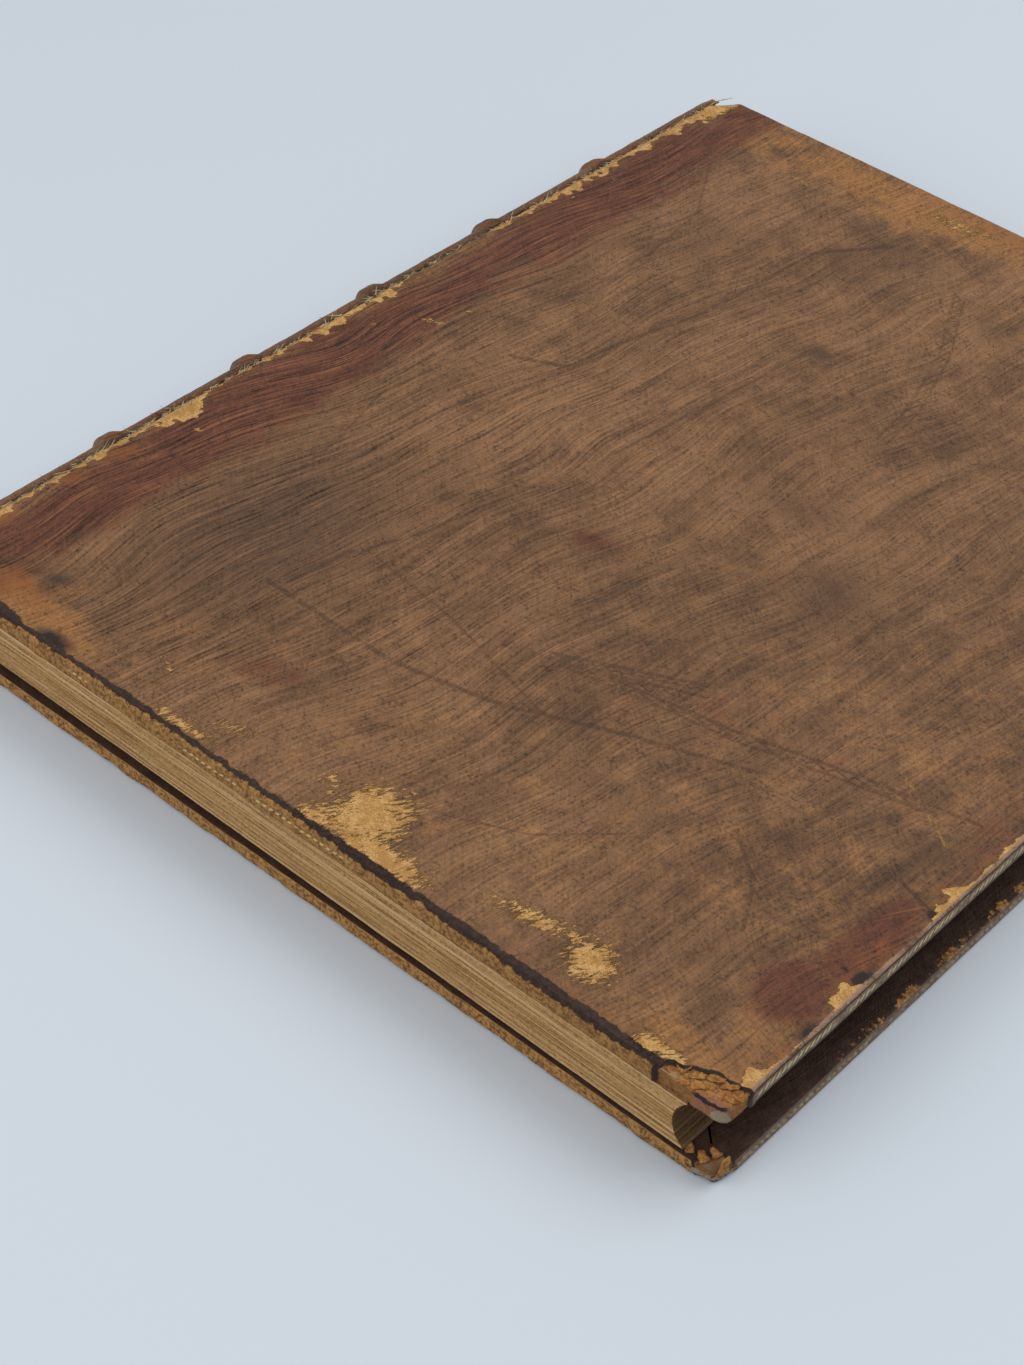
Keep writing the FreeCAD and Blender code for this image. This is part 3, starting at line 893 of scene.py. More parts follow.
    def edged(self, tint, base, gilded):
        """Colour with the cover's edges and the calf turned in, then where the suede and the crust lie."""
        crusted = self.value("trim")[0]
        chips = self.value("stain")[1]
        suede = self.suede_edge(tint)
        sheened_edge = self.fore_edge(tint)
        if gilded:
            dashes = self.gilt_dashes()
            sheened_edge = self.mix(dashes * 0.9, sheened_edge, tint.gilt)
            suede = self.mix(dashes * 0.8, suede, tint.gilt)
        on_face = self.step(self.over + self.rough.swing(2.4) * self.tail, 0.2, 0.75)
        base = self.mix(on_face, base, self.mix(self.tail, sheened_edge, suede))
        crust = self.step(abs(self.over_rough + 0.15) - crusted * 1.6, 0.9, 0.5)
        crust = crust * self.step(self.tail, 0.2, 0.8)
        base = self.mix(crust, base, self.mix(self.step(self.tooth, 0.4, 0.7), tint.crust, tint.smudge))
        # Pale rub along the top arris of the fore and head edges, partly real wear and partly a painted
        # highlight
        rub_and_highlight = self.step(abs(self.over - 0.6 + self.rough.swing(1.2)), 0.6, 0.3)
        rub_and_highlight = rub_and_highlight * self.step(self.tail, 0.8, 0.2)
        base = self.mix(rub_and_highlight * self.step(self.mottle, 0.36, 0.56) * 0.85, base, tint.arris)
        low_arris = self.step(abs(self.over - 5.0 + self.rough.swing(0.5)), 0.42, 0.2)
        base = self.mix(low_arris * 0.6, base, self.mix(self.tail, tint.arris, tint.scuff))
        inner = self.mix(self.step(self.cloud, 0.3, 0.8), tint.edge_calf_and_shade, tint.smudge)
        chipped = self.step(chips + self.rough.swing(1.8) + self.mottle.swing(1.4), 0.78, 0.9)
        chip = self.mix(self.step(self.tooth, 0.4, 0.6), tint.suede_dark_and_shade, tint.scuff)
        inner = self.mix(chipped, inner, chip)
        base = self.mix(self.step(self.over, 4.7, 5.1), base, inner)
        return base, on_face * self.tail, crust

    def torn(self, tint, base):
        """Colour with torn calf in its dark outline, with bare board and with painted shade between the
        board's plies, then where the torn calf and the bare board lie.
        """
        _, torn, board = self.value("wear")
        crusted, pink, _ = self.value("trim")
        # Second value: the gaps between the crushed corner's plies, where shade is painted
        gaps = self.value("dirt")[1]
        flake = torn + self.rough.swing(1.6)
        rust = self.mix(self.step(self.tooth, 0.35, 0.65), tint.rust, tint.scuff)
        rust = self.mix(self.step(self.rough, 0.5, 0.36), rust, tint.suede_dark_and_shade)
        rust = self.mix(self.step(self.over, 0.6, 1.8) * 0.55, rust, tint.suede_dark_and_shade)
        rust = self.mix(pink * self.step(self.mottle + self.rough.swing(1.0), 0.3, 0.6), rust, tint.flesh)
        opened = self.step(flake, 0.0, 0.35)
        base = self.mix(opened, base, rust)
        outline = self.step(abs(flake + 0.1), 0.65, 0.3) * self.step(torn, -3.0, -1.5)
        base = self.mix(outline, base, tint.crust)
        second_outline = self.step(abs(self.over_rough - 1.1), 0.9, 0.5) * self.step(crusted, 0.5, 0.8)
        base = self.mix(second_outline * self.step(torn, 0.0, 0.5), base, tint.crust)
        bare = self.step(board + self.tooth.swing(0.8), 0.4, 0.6)
        base = self.mix(bare, base, tint.pasteboard)
        # Painted shade in the gaps between the board's plies
        base = self.mix(self.step(gaps + self.tooth.swing(0.3), 0.4, 0.6) * 0.85, base, tint.crust)
        return base, opened, bare


def calf_finish(name, gilded=False):
    """Old calf with streaks, pores, scuffs, scored lines, worn edges and torn places."""
    tint = colours()
    calf = Calf(name)
    base = calf.ground(tint)
    base, line = calf.scored(tint, base)
    base, rubbed = calf.scuffed(tint, base)
    base, suede, crust = calf.edged(tint, base, gilded)
    base, opened, bare = calf.torn(tint, base)
    worn = rubbed.larger(suede).larger(opened).larger(bare)
    roughness = 0.52 + calf.cloud.swing(0.3) + worn * 0.35 + calf.streak.swing(0.2)
    height = calf.bump(calf.pores * 0.6 + calf.speck * 0.7, 0.09)
    furrows = calf.streak + calf.second * 0.6 + calf.scratch * 0.2 - calf.crease * 0.3 + calf.cloud * 1.2
    height = calf.bump(furrows, 0.2, height)
    height = calf.bump((calf.rough + calf.tooth) * worn - line - crust * 0.5, 0.22, height)
    calf.surface(Base_Color=base, Roughness=roughness, Normal=height)
    calf.surface(Specular_IOR_Level=0.2)
    return calf.material


def leaf_edge_finish():
    """Cut edges of old leaves, lying level, each a little paler or darker than the next, with painted shade
    in the gaps between groups and on the hollow fore-edge.
    """
    tint = colours()
    finish = Finish("leaf_edges")
    spot = finish.spot()
    thin = finish.noise(spot, (40.0, 40.0, 0.3), 3.0, 0.75)
    thick = finish.noise(spot, (90.0, 90.0, 0.9), 3.0, 0.6)
    stain = finish.noise(spot, 14.0, 5.0, 0.6)
    dust = finish.noise(spot, 0.6, 3.0)
    # Third value is 1 on the hollow fore-edge, where shade is painted
    pale, gap, soil_and_shade = finish.value("leaf")
    # Thin dark stripes: partly painted shade between leaves, partly toned leaves
    base = finish.mix(finish.step(thin + (dust - 0.5) * 0.3, 0.36, 0.6), tint.leaves_dark, tint.leaves)
    base = finish.mix(finish.step(thick + pale * 0.25 + (dust - 0.5) * 0.3, 0.5, 0.8), base, tint.leaves_pale)
    base = finish.mix(finish.step(stain, 0.55, 0.75) * 0.4, base, tint.foxing)
    # Painted shade in the recessed gaps between groups of leaves
    base = finish.mix(gap * 0.6, base, tint.suede_dark_and_shade)
    # Painted shade: the hollow fore-edge under the cover darkened towards dark calf
    base = finish.mix(soil_and_shade * 0.75, base, tint.edge_calf_and_shade)
    height = finish.bump(thin + thick, 0.12)
    finish.surface(Base_Color=base, Roughness=0.9, Normal=finish.bump(dust, 0.05, height))
    finish.surface(Specular_IOR_Level=0.2)
    return finish.material


def paper_finish(name, paper, spots):
    """Old paper with laid lines, foxing and browned edges."""
    tint = colours()
    finish = Finish(name)
    spot = finish.node_spot()
    x, y, _ = finish.add("ShaderNodeSeparateXYZ", None, {"Vector": spot})
    cloud = finish.noise(spot, 22.0, 5.0, 0.6)
    pulp = finish.noise(spot, 0.8, 4.0, 0.7)
    fox = finish.step(finish.noise(spot, 5.0, 4.0, 0.7), 0.64, 0.76)
    rim = (abs(x - 4.5) / (BOARD_WIDTH / 2)).larger(abs(y) / (BOARD_HEIGHT / 2))
    base = finish.mix(finish.step(cloud + (pulp - 0.5) * 0.3, 0.3, 0.9) * 0.3, paper, tint.foxing)
    base = finish.mix(fox * spots, base, tint.foxing)
    base = finish.mix(finish.step(rim + (cloud - 0.5) * 0.16, 0.86, 1.0) * 0.6, base, tint.foxing)
    laid = abs((y / 1.1).fraction() - 0.5)
    height = finish.bump(pulp + laid * 0.5, 0.05)
    finish.surface(Base_Color=base, Roughness=0.88, Normal=height)
    finish.surface(Specular_IOR_Level=0.25)
    return finish.material


def board_finish():
    """Grey-brown pasteboard, its sheets showing as layers at the edges."""
    tint = colours()
    finish = Finish("pasteboard")
    spot = finish.node_spot()
    sheets = finish.noise(spot, (18.0, 18.0, 0.34), 3.0, 0.6)
    fleck = finish.noise(spot, 1.1, 5.0, 0.7)
    base = finish.mix(finish.step(sheets, 0.34, 0.66), tint.suede_dark_and_shade, tint.pasteboard)
    base = finish.mix(finish.step(fleck, 0.58, 0.7) * 0.5, base, tint.leaves_pale)
    height = finish.bump(sheets + fleck, 0.2)
    finish.surface(Base_Color=base, Roughness=0.92, Normal=height)
    return finish.material


def cord_finish(name, tone, size):
    """Twisted cord or wound thread, with painted shade in the grooves between strands."""
    tint = colours()
    finish = Finish(name)
    x, y, z = finish.add("ShaderNodeSeparateXYZ", None, {"Vector": finish.node_spot()})
    strand = abs(((x + z) / size + y / (size * 1.6)).fraction() - 0.5) * 2
    fluff = finish.noise(finish.node_spot(), 0.4, 3.0)
    # Painted shade in the grooves between strands
    base = finish.mix(finish.step(strand, 0.75, 1.0) * 0.7, tone, tint.suede_dark_and_shade)
    base = finish.mix(fluff * 0.4, base, tint.leaves_dark)
    height = finish.bump(1 - strand + fluff * 0.4, 0.3)
    finish.surface(Base_Color=base, Roughness=0.9, Normal=height)
    return finish.material


def slump_square(z, bottom_square):
    """How far in from the covers' tail edge the leaves lie at one height."""
    share = (MID_Z + LEAF_BLOCK_HALF - z) / (2 * LEAF_BLOCK_HALF)
    return TOP_LEAF_SQUARE + share * (bottom_square - TOP_LEAF_SQUARE)


def leaf_tail_up(across, z):
    """Height above the tail of the leaves' cut tail edge."""
    at_spine = slump_square(z, BOTTOM_LEAF_SQUARE[0])
    at_fore = slump_square(z, BOTTOM_LEAF_SQUARE[1])
    start, end = SLUMP
    near_folds = TAIL_SQUARE_AT_FOLDS + (across - start) / (end - start) * (at_spine - TAIL_SQUARE_AT_FOLDS)
    beyond = at_spine + (across - end) / (BOARD_WIDTH - end) * (at_fore - at_spine)
    return np.where(across < start, TAIL_SQUARE_AT_FOLDS, np.where(across < end, near_folds, beyond))


def fore_hollow_across(z):
    """How far across the leaves' hollow fore-edge lies at one height."""
    radius = (LEAF_BLOCK_HALF ** 2 + FORE_HOLLOW ** 2) / (2 * FORE_HOLLOW)
    middle = LEAF_FORE_X - JOINT_X - FORE_HOLLOW + radius
    return middle - np.sqrt(radius ** 2 - (z - MID_Z) ** 2)


def build_leaf_edges():
    """Band of cut leaf edges round tail, fore-edge and head, in groups that stand out unevenly."""
    step = sizes().leaf_step / MM
    low = MID_Z - LEAF_BLOCK_HALF
    high = MID_Z + LEAF_BLOCK_HALF
    groups = int(round((high - low) / (sizes().leaf_group / MM)))
    random = np.random.default_rng(11)
    widths = random.uniform(0.4, 1.6, groups)
    stops = low + np.cumsum(np.concatenate([[0], widths])) / widths.sum() * (high - low)
    stand = random.uniform(0.05, 0.2, groups)
    stand += np.repeat(random.uniform(0, 0.14, groups // 4 + 1), 4)[:groups]
    pale = random.uniform(-1, 1, groups)

    heights = [low]
    stands = [0.03]
    tones = [0.0]
    gaps = [1.0]
    for number in range(groups):
        depth = stops[number + 1] - stops[number]
        # The last row of each group sits back as a gap, which the finish paints dark as its shade
        for share, out, gap in ((0.18, 1.0, 0.0), (0.82, 1.0, 0.0), (1.0, 0.3, 1.0)):
            heights.append(stops[number] + share * depth)
            stands.append(stand[number] * out)
            tones.append(pale[number])
            gaps.append(gap)
    heights = np.array(heights)
    stands = np.array(stands)

    fore = LEAF_FORE_X - JOINT_X
    head_up = BOARD_HEIGHT - HEAD_SQUARE
    tail_across = np.arange(1.0, fore - 0.2, step)
    fore_share = np.linspace(0, 1, int(BOARD_HEIGHT / step))
    head_across = tail_across[::-1]

    columns = []
    for across in tail_across:
        columns.append((across, None, (0, -1)))
    for share in fore_share:
        turn = (1 - min(share / 0.004, 1.0), min((1 - share) / 0.004, 1.0))
        outward = (1.0, -0.7 * turn[0] + 0.7 * (1 - turn[1]))
        columns.append((None, share, outward))
    for across in head_across:
        columns.append((across, 1.0, (0, 1)))

    grid = []
    shape = Shape()
    fore_across = fore_hollow_across(heights)
    tail_up_at_fore = leaf_tail_up(fore_across, heights)
    for number, (across, share, outward) in enumerate(columns):
        if across is None:
            place_across = fore_across
            place_up = tail_up_at_fore + share * (head_up - tail_up_at_fore)
        else:
            place_across = np.minimum(across, fore_across)
            at_head = np.full(len(heights), head_up)
            place_up = leaf_tail_up(place_across, heights) if share is None else at_head
        places = np.stack([place_across, place_up, heights], axis=1)
        wave = 1 + 0.45 * grain(places * (1, 1, 6), 9.0, 21) + 0.3 * grain(places * (1, 1, 9), 2.6, 22)
        out = np.maximum(stands * wave, 0.02)
        places[:, 0] += outward[0] * out
        places[:, 1] += outward[1] * out
        first = places[:1] - np.array([outward[0], outward[1], 0]) * 0.9 - (0, 0, 0.03)
        last = places[-1:] - np.array([outward[0], outward[1], 0]) * 0.9 + (0, 0, 0.03)
        places = np.concatenate([first, places, last])
        # Third value marks the fore-edge columns, whose hollow the finish darkens as painted shade
        on_fore = np.full(len(places), float(across is None))
        leaf = np.stack([[0.0] + tones + [0.0], [0.0] + gaps + [0.0], on_fore], axis=1)
        grid.append(shape.add(places + (JOINT_X, TAIL_Y, 0), leaf=leaf))
    shape.weave(np.array(grid))
    shape.make("leaf_edges", leaf_edge_finish(), "text_block")


def edge_profile():
    """Rows round a cover's edge: outward, depth, the normal's outward and upward shares, way over."""
    rows = []
    for number in range(1, ARRIS_STEPS + 1):
        turn = math.pi / 2 * number / ARRIS_STEPS
        outward = OUTER_ARRIS * math.sin(turn)
        depth = OUTER_ARRIS * (1 - math.cos(turn))
        rows.append((outward, depth, math.sin(turn), math.cos(turn), OUTER_ARRIS * turn))
    way = rows[-1][4]
    face = SKIN_DEPTH - OUTER_ARRIS - INNER_ARRIS
    for number in range(1, FACE_STEPS + 1):
        down = face * number / FACE_STEPS
        rows.append((OUTER_ARRIS, OUTER_ARRIS + down, 1.0, 0.0, way + down))
    way = rows[-1][4]
    for turn in (math.pi / 4, math.pi / 2):
        outward = OUTER_ARRIS - INNER_ARRIS * (1 - math.cos(turn))
        depth = SKIN_DEPTH - INNER_ARRIS * (1 - math.sin(turn))
        rows.append((outward, depth, math.cos(turn), -math.sin(turn), way + INNER_ARRIS * turn))
    return rows


def cover_places(near_radius):
    """Places, normals and edge values over one cover's calf, as the upper cover lies, and its grids."""
    fine = sizes().edge_step / MM
    coarse = sizes().cover_step / MM
    across = spaced(JOINT_GAP, BOARD_WIDTH - OUTER_ARRIS, fine, coarse, FINE_AT_JOINT, FINE_AT_FORE)
    up = spaced(OUTER_ARRIS, BOARD_HEIGHT - OUTER_ARRIS, fine, coarse, FINE_AT_TAIL, FINE_AT_HEAD)
    a, u = np.meshgrid(across, up, indexing="ij")

    # The covers are cut back beside the ends of the spine
    slope = NIP_ACROSS / NIP_UP
    shift = OUTER_ARRIS * math.hypot(NIP_ACROSS, NIP_UP) / NIP_UP
    from_end = np.minimum(u, BOARD_HEIGHT - u)
    start = np.maximum(JOINT_GAP, JOINT_GAP + NIP_ACROSS + shift - slope * from_end)
    fore = BOARD_WIDTH - OUTER_ARRIS
    a = start + (a - JOINT_GAP) * (fore - start) / (fore - JOINT_GAP)

    # The fore-edge corners are rounded
    for radius, near in ((near_radius, True), (FAR_RADIUS, False)):
        small = radius - OUTER_ARRIS
        middle_a = fore - small
        middle_u = OUTER_ARRIS + small if near else BOARD_HEIGHT - OUTER_ARRIS - small
        way = -1 if near else 1
        da = a - middle_a
        du = (u - middle_u) * way
        corner = (da > 0) & (du > 0)
        squeeze = np.where(corner, np.maximum(da, du) / np.maximum(np.hypot(da, du), 1e-9), 1)
        a = np.where(corner, middle_a + da * squeeze, a)
        u = np.where(corner, middle_u + way * du * squeeze, u)

    count_a, count_u = a.shape
    numbers = np.arange(a.size).reshape(a.shape)
    nip_rows = int(np.sum(start[0, : count_u // 2] > JOINT_GAP + 1e-6))
    chain = np.concatenate([
        numbers[0, nip_rows:0:-1],
        numbers[:, 0],
        numbers[-1, 1:],
        numbers[-2::-1, -1],
        numbers[0, -2 : -nip_rows - 2 : -1],
    ])
    chain_a = a.ravel()[chain]
    chain_u = u.ravel()[chain]
    run_a = np.gradient(chain_a)
    run_u = np.gradient(chain_u)
    reach = np.hypot(run_a, run_u)
    out_a = run_u / reach
    out_u = -run_a / reach
    steps = np.hypot(np.diff(chain_a), np.diff(chain_u))
    chain_along = np.concatenate([[0], np.cumsum(steps)])

    # Top face
    to_tail = u - OUTER_ARRIS
    to_head = BOARD_HEIGHT - OUTER_ARRIS - u
    to_fore = fore - a
    to_nip = (a - start) / math.hypot(1, slope)
    rim = np.minimum(np.minimum(to_tail, to_head), to_fore)
    rim = np.where(start > JOINT_GAP + 1e-6, np.minimum(rim, to_nip), rim)
    tail = smooth(-1.5, 1.5, to_fore - to_tail)
    along = np.zeros_like(a)
    along.ravel()[chain] = chain_along
    points = np.stack([a.ravel(), u.ravel(), np.zeros(a.size)], axis=1)
    normals = np.tile([0.0, 0.0, 1.0], (a.size, 1))
    edges = np.stack([along.ravel(), -rim.ravel(), tail.ravel()], axis=1)
    parts = [(points, normals, edges)]
    grids = [numbers]

    # Edge faces, and the turn-ins as far as their mitres
    chain_tail = tail.ravel()[chain]
    ring = [chain]
    count = a.size
    rows = edge_profile()
    for outward, depth, normal_out, normal_up, way in rows:
        places = np.stack(
            [chain_a + outward * out_a, chain_u + outward * out_u, np.full(len(chain), depth)], axis=1
        )
        pointing = np.stack([normal_out * out_a, normal_out * out_u, np.full(len(chain), normal_up)], axis=1)
        ways = np.full(len(chain), way)
        parts.append((places, pointing, np.stack([chain_along, ways, chain_tail], axis=1)))
        ring.append(np.arange(count, count + len(chain)))
        count += len(chain)
    last_out, last_depth, _, _, last_way = rows[-1]
    at_ends = np.abs(out_u) > np.abs(out_a)
    from_ends = np.minimum(chain_u, BOARD_HEIGHT - chain_u)
    to_side = np.where(at_ends, BOARD_WIDTH - chain_a, from_ends)
    beyond_nip = 1.5 * np.maximum(chain_a - NIP_ACROSS - 1, 0) + LEAST_TURN_IN
    from_nip = np.where(at_ends, beyond_nip, TURN_IN)
    slanted = out_a < -0.2
    deep = np.clip(np.minimum(to_side, from_nip), LEAST_TURN_IN, TURN_IN)
    deep = np.where(slanted, LEAST_TURN_IN, deep)
    for share in TURN_IN_SHARES:
        inward = OUTER_ARRIS - INNER_ARRIS - share * deep
        closing = share > 1
        depth = last_depth - (TURN_IN_LEATHER if closing else 0)
        places = np.stack(
            [chain_a + inward * out_a, chain_u + inward * out_u, np.full(len(chain), depth)], axis=1
        )
        pointing = np.tile([0.0, 0.0, 0.0 if closing else -1.0], (len(chain), 1))
        ways = last_way + share * deep
        parts.append((places, pointing, np.stack([chain_along, ways, chain_tail], axis=1)))
        ring.append(np.arange(count, count + len(chain)))
        count += len(chain)
    grids.append(np.array(ring))

    # Raw edge along the joint
    raw = numbers[0, nip_rows : count_u - nip_rows]
    rows = [raw]
    raw_a = a.ravel()[raw]
    raw_u = u.ravel()[raw]
    for inward, depth in RAW_EDGE:
        places = np.stack([raw_a + inward, raw_u, np.full(len(raw), depth)], axis=1)
        pointing = np.tile([-0.3, 0.0, 0.0], (len(raw), 1))
        edges = np.stack([np.zeros(len(raw)), np.full(len(raw), AWAY), np.zeros(len(raw))], axis=1)
        parts.append((places, pointing, edges))
        rows.append(np.arange(count, count + len(raw)))
        count += len(raw)
    grids.append(np.array(rows)[::-1])
    return [np.concatenate([part[number] for part in parts]) for number in range(3)], grids


def upper_wear(places, edges):
    """What the finish reads on the upper cover, and how far wear lifts or sinks its surface."""
    across = places[:, 0]
    up = places[:, 1]
    over = edges[:, 1]
    tail = edges[:, 2]
    tone = np.stack([patches(across, up, group) for group in (WARMTH, SMUDGES, OXBLOOD)], axis=1)
    scuff = patches(across, up, SCUFFS)
    ragged = 0.9 * grain(places, 2.3, 31) + 0.5 * grain(places, 0.9, 32)
    torn = inside(across, up, UPPER_TEAR) + ragged * 0.5
    up_only = places * (0, 1, 0)
    edge_grain = 0.5 + 0.3 * grain(up_only, 5.0, 46) + 0.4 * grain(places, 1.7, 34)
    fingers = 1 + 0.5 * grain(up_only, 1.9, 57) + 0.3 * grain(up_only, 0.9, 58)
    joint_worn = np.interp(up, *zip(*JOINT_WEAR)) * (0.35 + edge_grain) * np.maximum(fingers, 0.5)
    scuff = np.maximum(scuff, 1.15 * smooth(joint_worn + 0.4, joint_worn - 0.5, across))
    fore_worn = np.interp(up, *zip(*FORE_WEAR)) * (0.5 + edge_grain)
    on_top = over < 1.2
    scuff = np.maximum(scuff, 1.05 * smooth(fore_worn + 0.4, fore_worn - 0.7, BOARD_WIDTH - across) * on_top)
    scuff = scuff * smooth(0.6, 0.2, places[:, 2] * (across < 3))
    black = 0.5 + 0.5 * grain(places * (1, 0, 0), 9.0, 35)
    crusted = 0.25 * np.maximum(grain(places * (1, 0, 0), 14.0, 49), 0) + patches(across, up, CRUSTS)
    pink = smooth(221, 223, across) * smooth(2.8, 1.6, up)
    at_dots = np.maximum(smooth(6, 3, np.abs(across - 54.5)), smooth(26, 22, np.abs(across - 109)))
    trim = np.stack([crusted, pink, np.where(tail > 0.5, at_dots, 1.0)], axis=1)
    stain = np.stack([patches(across, up, RUST), 0 * up, patches(across, up, STREAKED)], axis=1)
    dirt = np.stack([0.6 + 0.4 * smooth(150, 225, across), 0 * up, 0 * up], axis=1)
    corner = np.hypot(across - 228.2, (over - 4.2) * 0.9)
    plug = smooth(2.4, 1.7, corner + 0.4 * ragged) * smooth(0.6, 1.4, over) * smooth(3, 2, up)
    wear = np.stack([scuff, torn, plug], axis=1)
    lines = marks(across, up, MARKS)

    lift = 0.09 * grain(places, 11.0, 36) + 0.05 * grain(places, 3.0, 37)
    lift -= 0.10 * smooth(0.45, 0.8, scuff + 0.3 * ragged)
    lift -= 0.12 * np.exp(-0.5 * lines[:, 0] ** 2) * (lines[:, 2] < 0)
    lift -= 0.45 * smooth(-0.2, 0.5, torn) - 0.22 * smooth(0.3, 1.0, torn) * grain(places, 1.3, 38)
    lift += 0.3 * np.exp(-0.5 * ((torn + 0.5) / 0.5) ** 2)
    edge_band = np.exp(-0.5 * ((over - 0.3) / 0.9) ** 2)
    lift -= edge_band * tail * (0.12 + 0.3 * black * smooth(-0.2, 0.8, ragged))
    lift += smooth(0.5, 1.6, over) * smooth(8, 6, over) * tail * 0.18 * grain(places, 4.0, 39)
    return tone, wear, lines, trim, stain, dirt, lift


def lower_wear(places, edges):
    """The same for the lower cover, whose outside is hidden: even handling, scuffs and a crushed corner."""
    across = places[:, 0]
    up = places[:, 1]
    over = edges[:, 1]
    tail = edges[:, 2]
    random = np.random.default_rng(41)
    groups = []
    for count, reach, strength in ((14, 24, 0.7), (16, 14, 0.7), (6, 16, 0.6)):
        groups.append([
            (
                (random.uniform(0, BOARD_WIDTH), random.uniform(0, BOARD_HEIGHT)),
                (random.uniform(0.3, 1) * reach, random.uniform(0.3, 1) * reach),
                random.uniform(-40, 40),
                strength,
            )
            for _ in range(count)
        ])
    tone = np.stack([patches(across, up, group) for group in groups], axis=1)
    rubs = [
        (
            (random.uniform(8, 222), random.uniform(8, 287)),
            (random.uniform(2, 9), random.uniform(1, 3)),
            random.uniform(-60, 60),
            0.75,
        )
        for _ in range(22)
    ]
    scuff = patches(across, up, rubs)
    ragged = 0.9 * grain(places, 2.3, 42) + 0.5 * grain(places, 0.9, 43)
    corner = np.hypot(across - BOARD_WIDTH + 1, up - 1)
    torn = np.where(over > 0.2, 4.5 - corner, AWAY) + ragged * 0.6
    plies = smooth(6.2, 4.6, corner + ragged) * smooth(-1.5, 0.5, over) * smooth(3.9, 3.2, over)
    scored = []
    for _ in range(16):
        start = (random.uniform(10, 200), random.uniform(10, 280))
        turn = random.uniform(0, 2 * math.pi)
        middle = (start[0] + 18 * math.cos(turn), start[1] + 18 * math.sin(turn))
        end = (middle[0] + 20 * math.cos(turn + 0.3), middle[1] + 20 * math.sin(turn + 0.3))
        scored.append((random.choice([-0.7, -0.5, 0.4]), 0.5, (start, middle, end)))
    wear = np.stack([scuff, np.maximum(torn, AWAY), plies], axis=1)
    lines = marks(across, up, scored)
    lift = -0.05 + 0.04 * grain(places, 3.0, 44)
    lift -= 0.35 * smooth(0.2, 1.0, torn)
    ripple = 0.35 * np.abs(((across + up) / 1.5) % 2 - 1)
    layer = np.abs(((places[:, 2] + ripple) / PLY_DEPTH) % 1 - 0.5) * 2
    lift -= plies * (0.75 - 0.6 * layer)
    # Second value marks the sunk gaps between plies, which the finish paints dark as their shade
    dirt = np.stack([0 * up, plies * smooth(0.5, 0.2, layer), 0 * up], axis=1)
    lift -= np.exp(-0.5 * ((over - 0.3) / 0.9) ** 2) * tail * (0.15 + 0.25 * smooth(0, 1, ragged))
    lift += smooth(0.5, 1.6, over) * smooth(8, 6, over) * tail * 0.22 * grain(places, 4.5, 45)
    crusted = 0.3 * np.maximum(grain(places * (1, 0, 0), 12.0, 50), 0)
    trim = np.stack([crusted, 0 * up, 0.3 * (tail < 0.5)], axis=1)
    low_rust = smooth(2.5, 4.2, over) * 0.55 * smooth(60, 4, up)
    near_arris = smooth(9.5, 5.2, over) * 0.55 + 0.45
    chips = patches(across, up, CHIPS) * near_arris * smooth(10, 9, over)
    stain = np.stack([low_rust, chips, 0.3 + 0 * up], axis=1)
    return tone, wear, lines, trim, stain, dirt, lift


def build_cover(name, lower, near_radius, wear_of):
    """Calf over one cover, worn as the given function says."""
    (places, normals, edges), grids = cover_places(near_radius)
    tone, wear, lines, trim, stain, dirt, lift = wear_of(places, edges)
    flat = places.copy()
    flat[:, 2] = -flat[:, 2]
    lift = np.where(edges[:, 1] > LIFT_ENDS, 0, lift)
    moved = flat + normals * lift[:, None]
    if lower:
        world = moved * (1, 1, -1) + (JOINT_X, TAIL_Y, 0)
        world[:, 2] = np.maximum(world[:, 2], 0)
    else:
        world = moved + (JOINT_X, TAIL_Y, BOOK_THICKNESS)
    shape = Shape()
    shape.add(world, tone=tone, wear=wear, mark=lines, edge=edges, trim=trim, stain=stain, dirt=dirt)
    for grid in grids:
        shape.weave(grid, flip=lower)
    body = "back_cover" if lower else "front_cover"
    node = "back_leather" if lower else "front_leather"
    return shape.make(name, calf_finish(name, gilded=True), body, [node])


def rim(grid):
    """Closed loop of point numbers round a grid."""
    return np.concatenate([grid[0, :], grid[1:, -1], grid[-1, -2::-1], grid[-2::-1, 0]])


def spine_profile(share, inset):
    """Outline across the spine from the upper joint round to the lower: x, z, and the normal's x and z."""
    corner_x = SPINE_EDGE_X - SHOULDER_FLAT
    to_back = SPINE_BULGE - JOINT_GAP - SHOULDER_FLAT
    radius = (to_back ** 2 + SHOULDER_Z ** 2 - SHOULDER_RADIUS ** 2) / (2 * (to_back - SHOULDER_RADIUS))
    centre_x = radius - SPINE_BULGE + JOINT_X
    turn = math.atan2(SHOULDER_Z, centre_x - corner_x)
    small_run = SHOULDER_RADIUS * (math.pi / 2 - turn)
    large_run = radius * turn
    total = small_run + large_run + SHOULDER_FLAT
    way = np.abs(share - 0.5) * 2 * total
    side = np.where(share < 0.5, 1.0, -1.0)
    on_back = way < large_run
    on_shoulder = (way >= large_run) & (way < large_run + small_run)
    angle = np.where(on_back, way / radius, turn + (way - large_run) / SHOULDER_RADIUS)
    angle = np.minimum(angle, math.pi / 2)
    x_back = centre_x - (radius - inset) * np.cos(angle)
    z_back = (radius - inset) * np.sin(angle)
    x_shoulder = corner_x - (SHOULDER_RADIUS - inset) * np.cos(angle)
    z_shoulder = SHOULDER_Z + (SHOULDER_RADIUS - inset) * np.sin(angle)
    flat = np.clip((way - large_run - small_run) / SHOULDER_FLAT, 0, 1)
    x = np.where(on_back, x_back, np.where(on_shoulder, x_shoulder, x_shoulder + flat * SHOULDER_FLAT))
    z = np.where(on_back, z_back, z_shoulder)
    return x, MID_Z + side * z, -np.cos(angle), side * np.sin(angle), 1 - flat


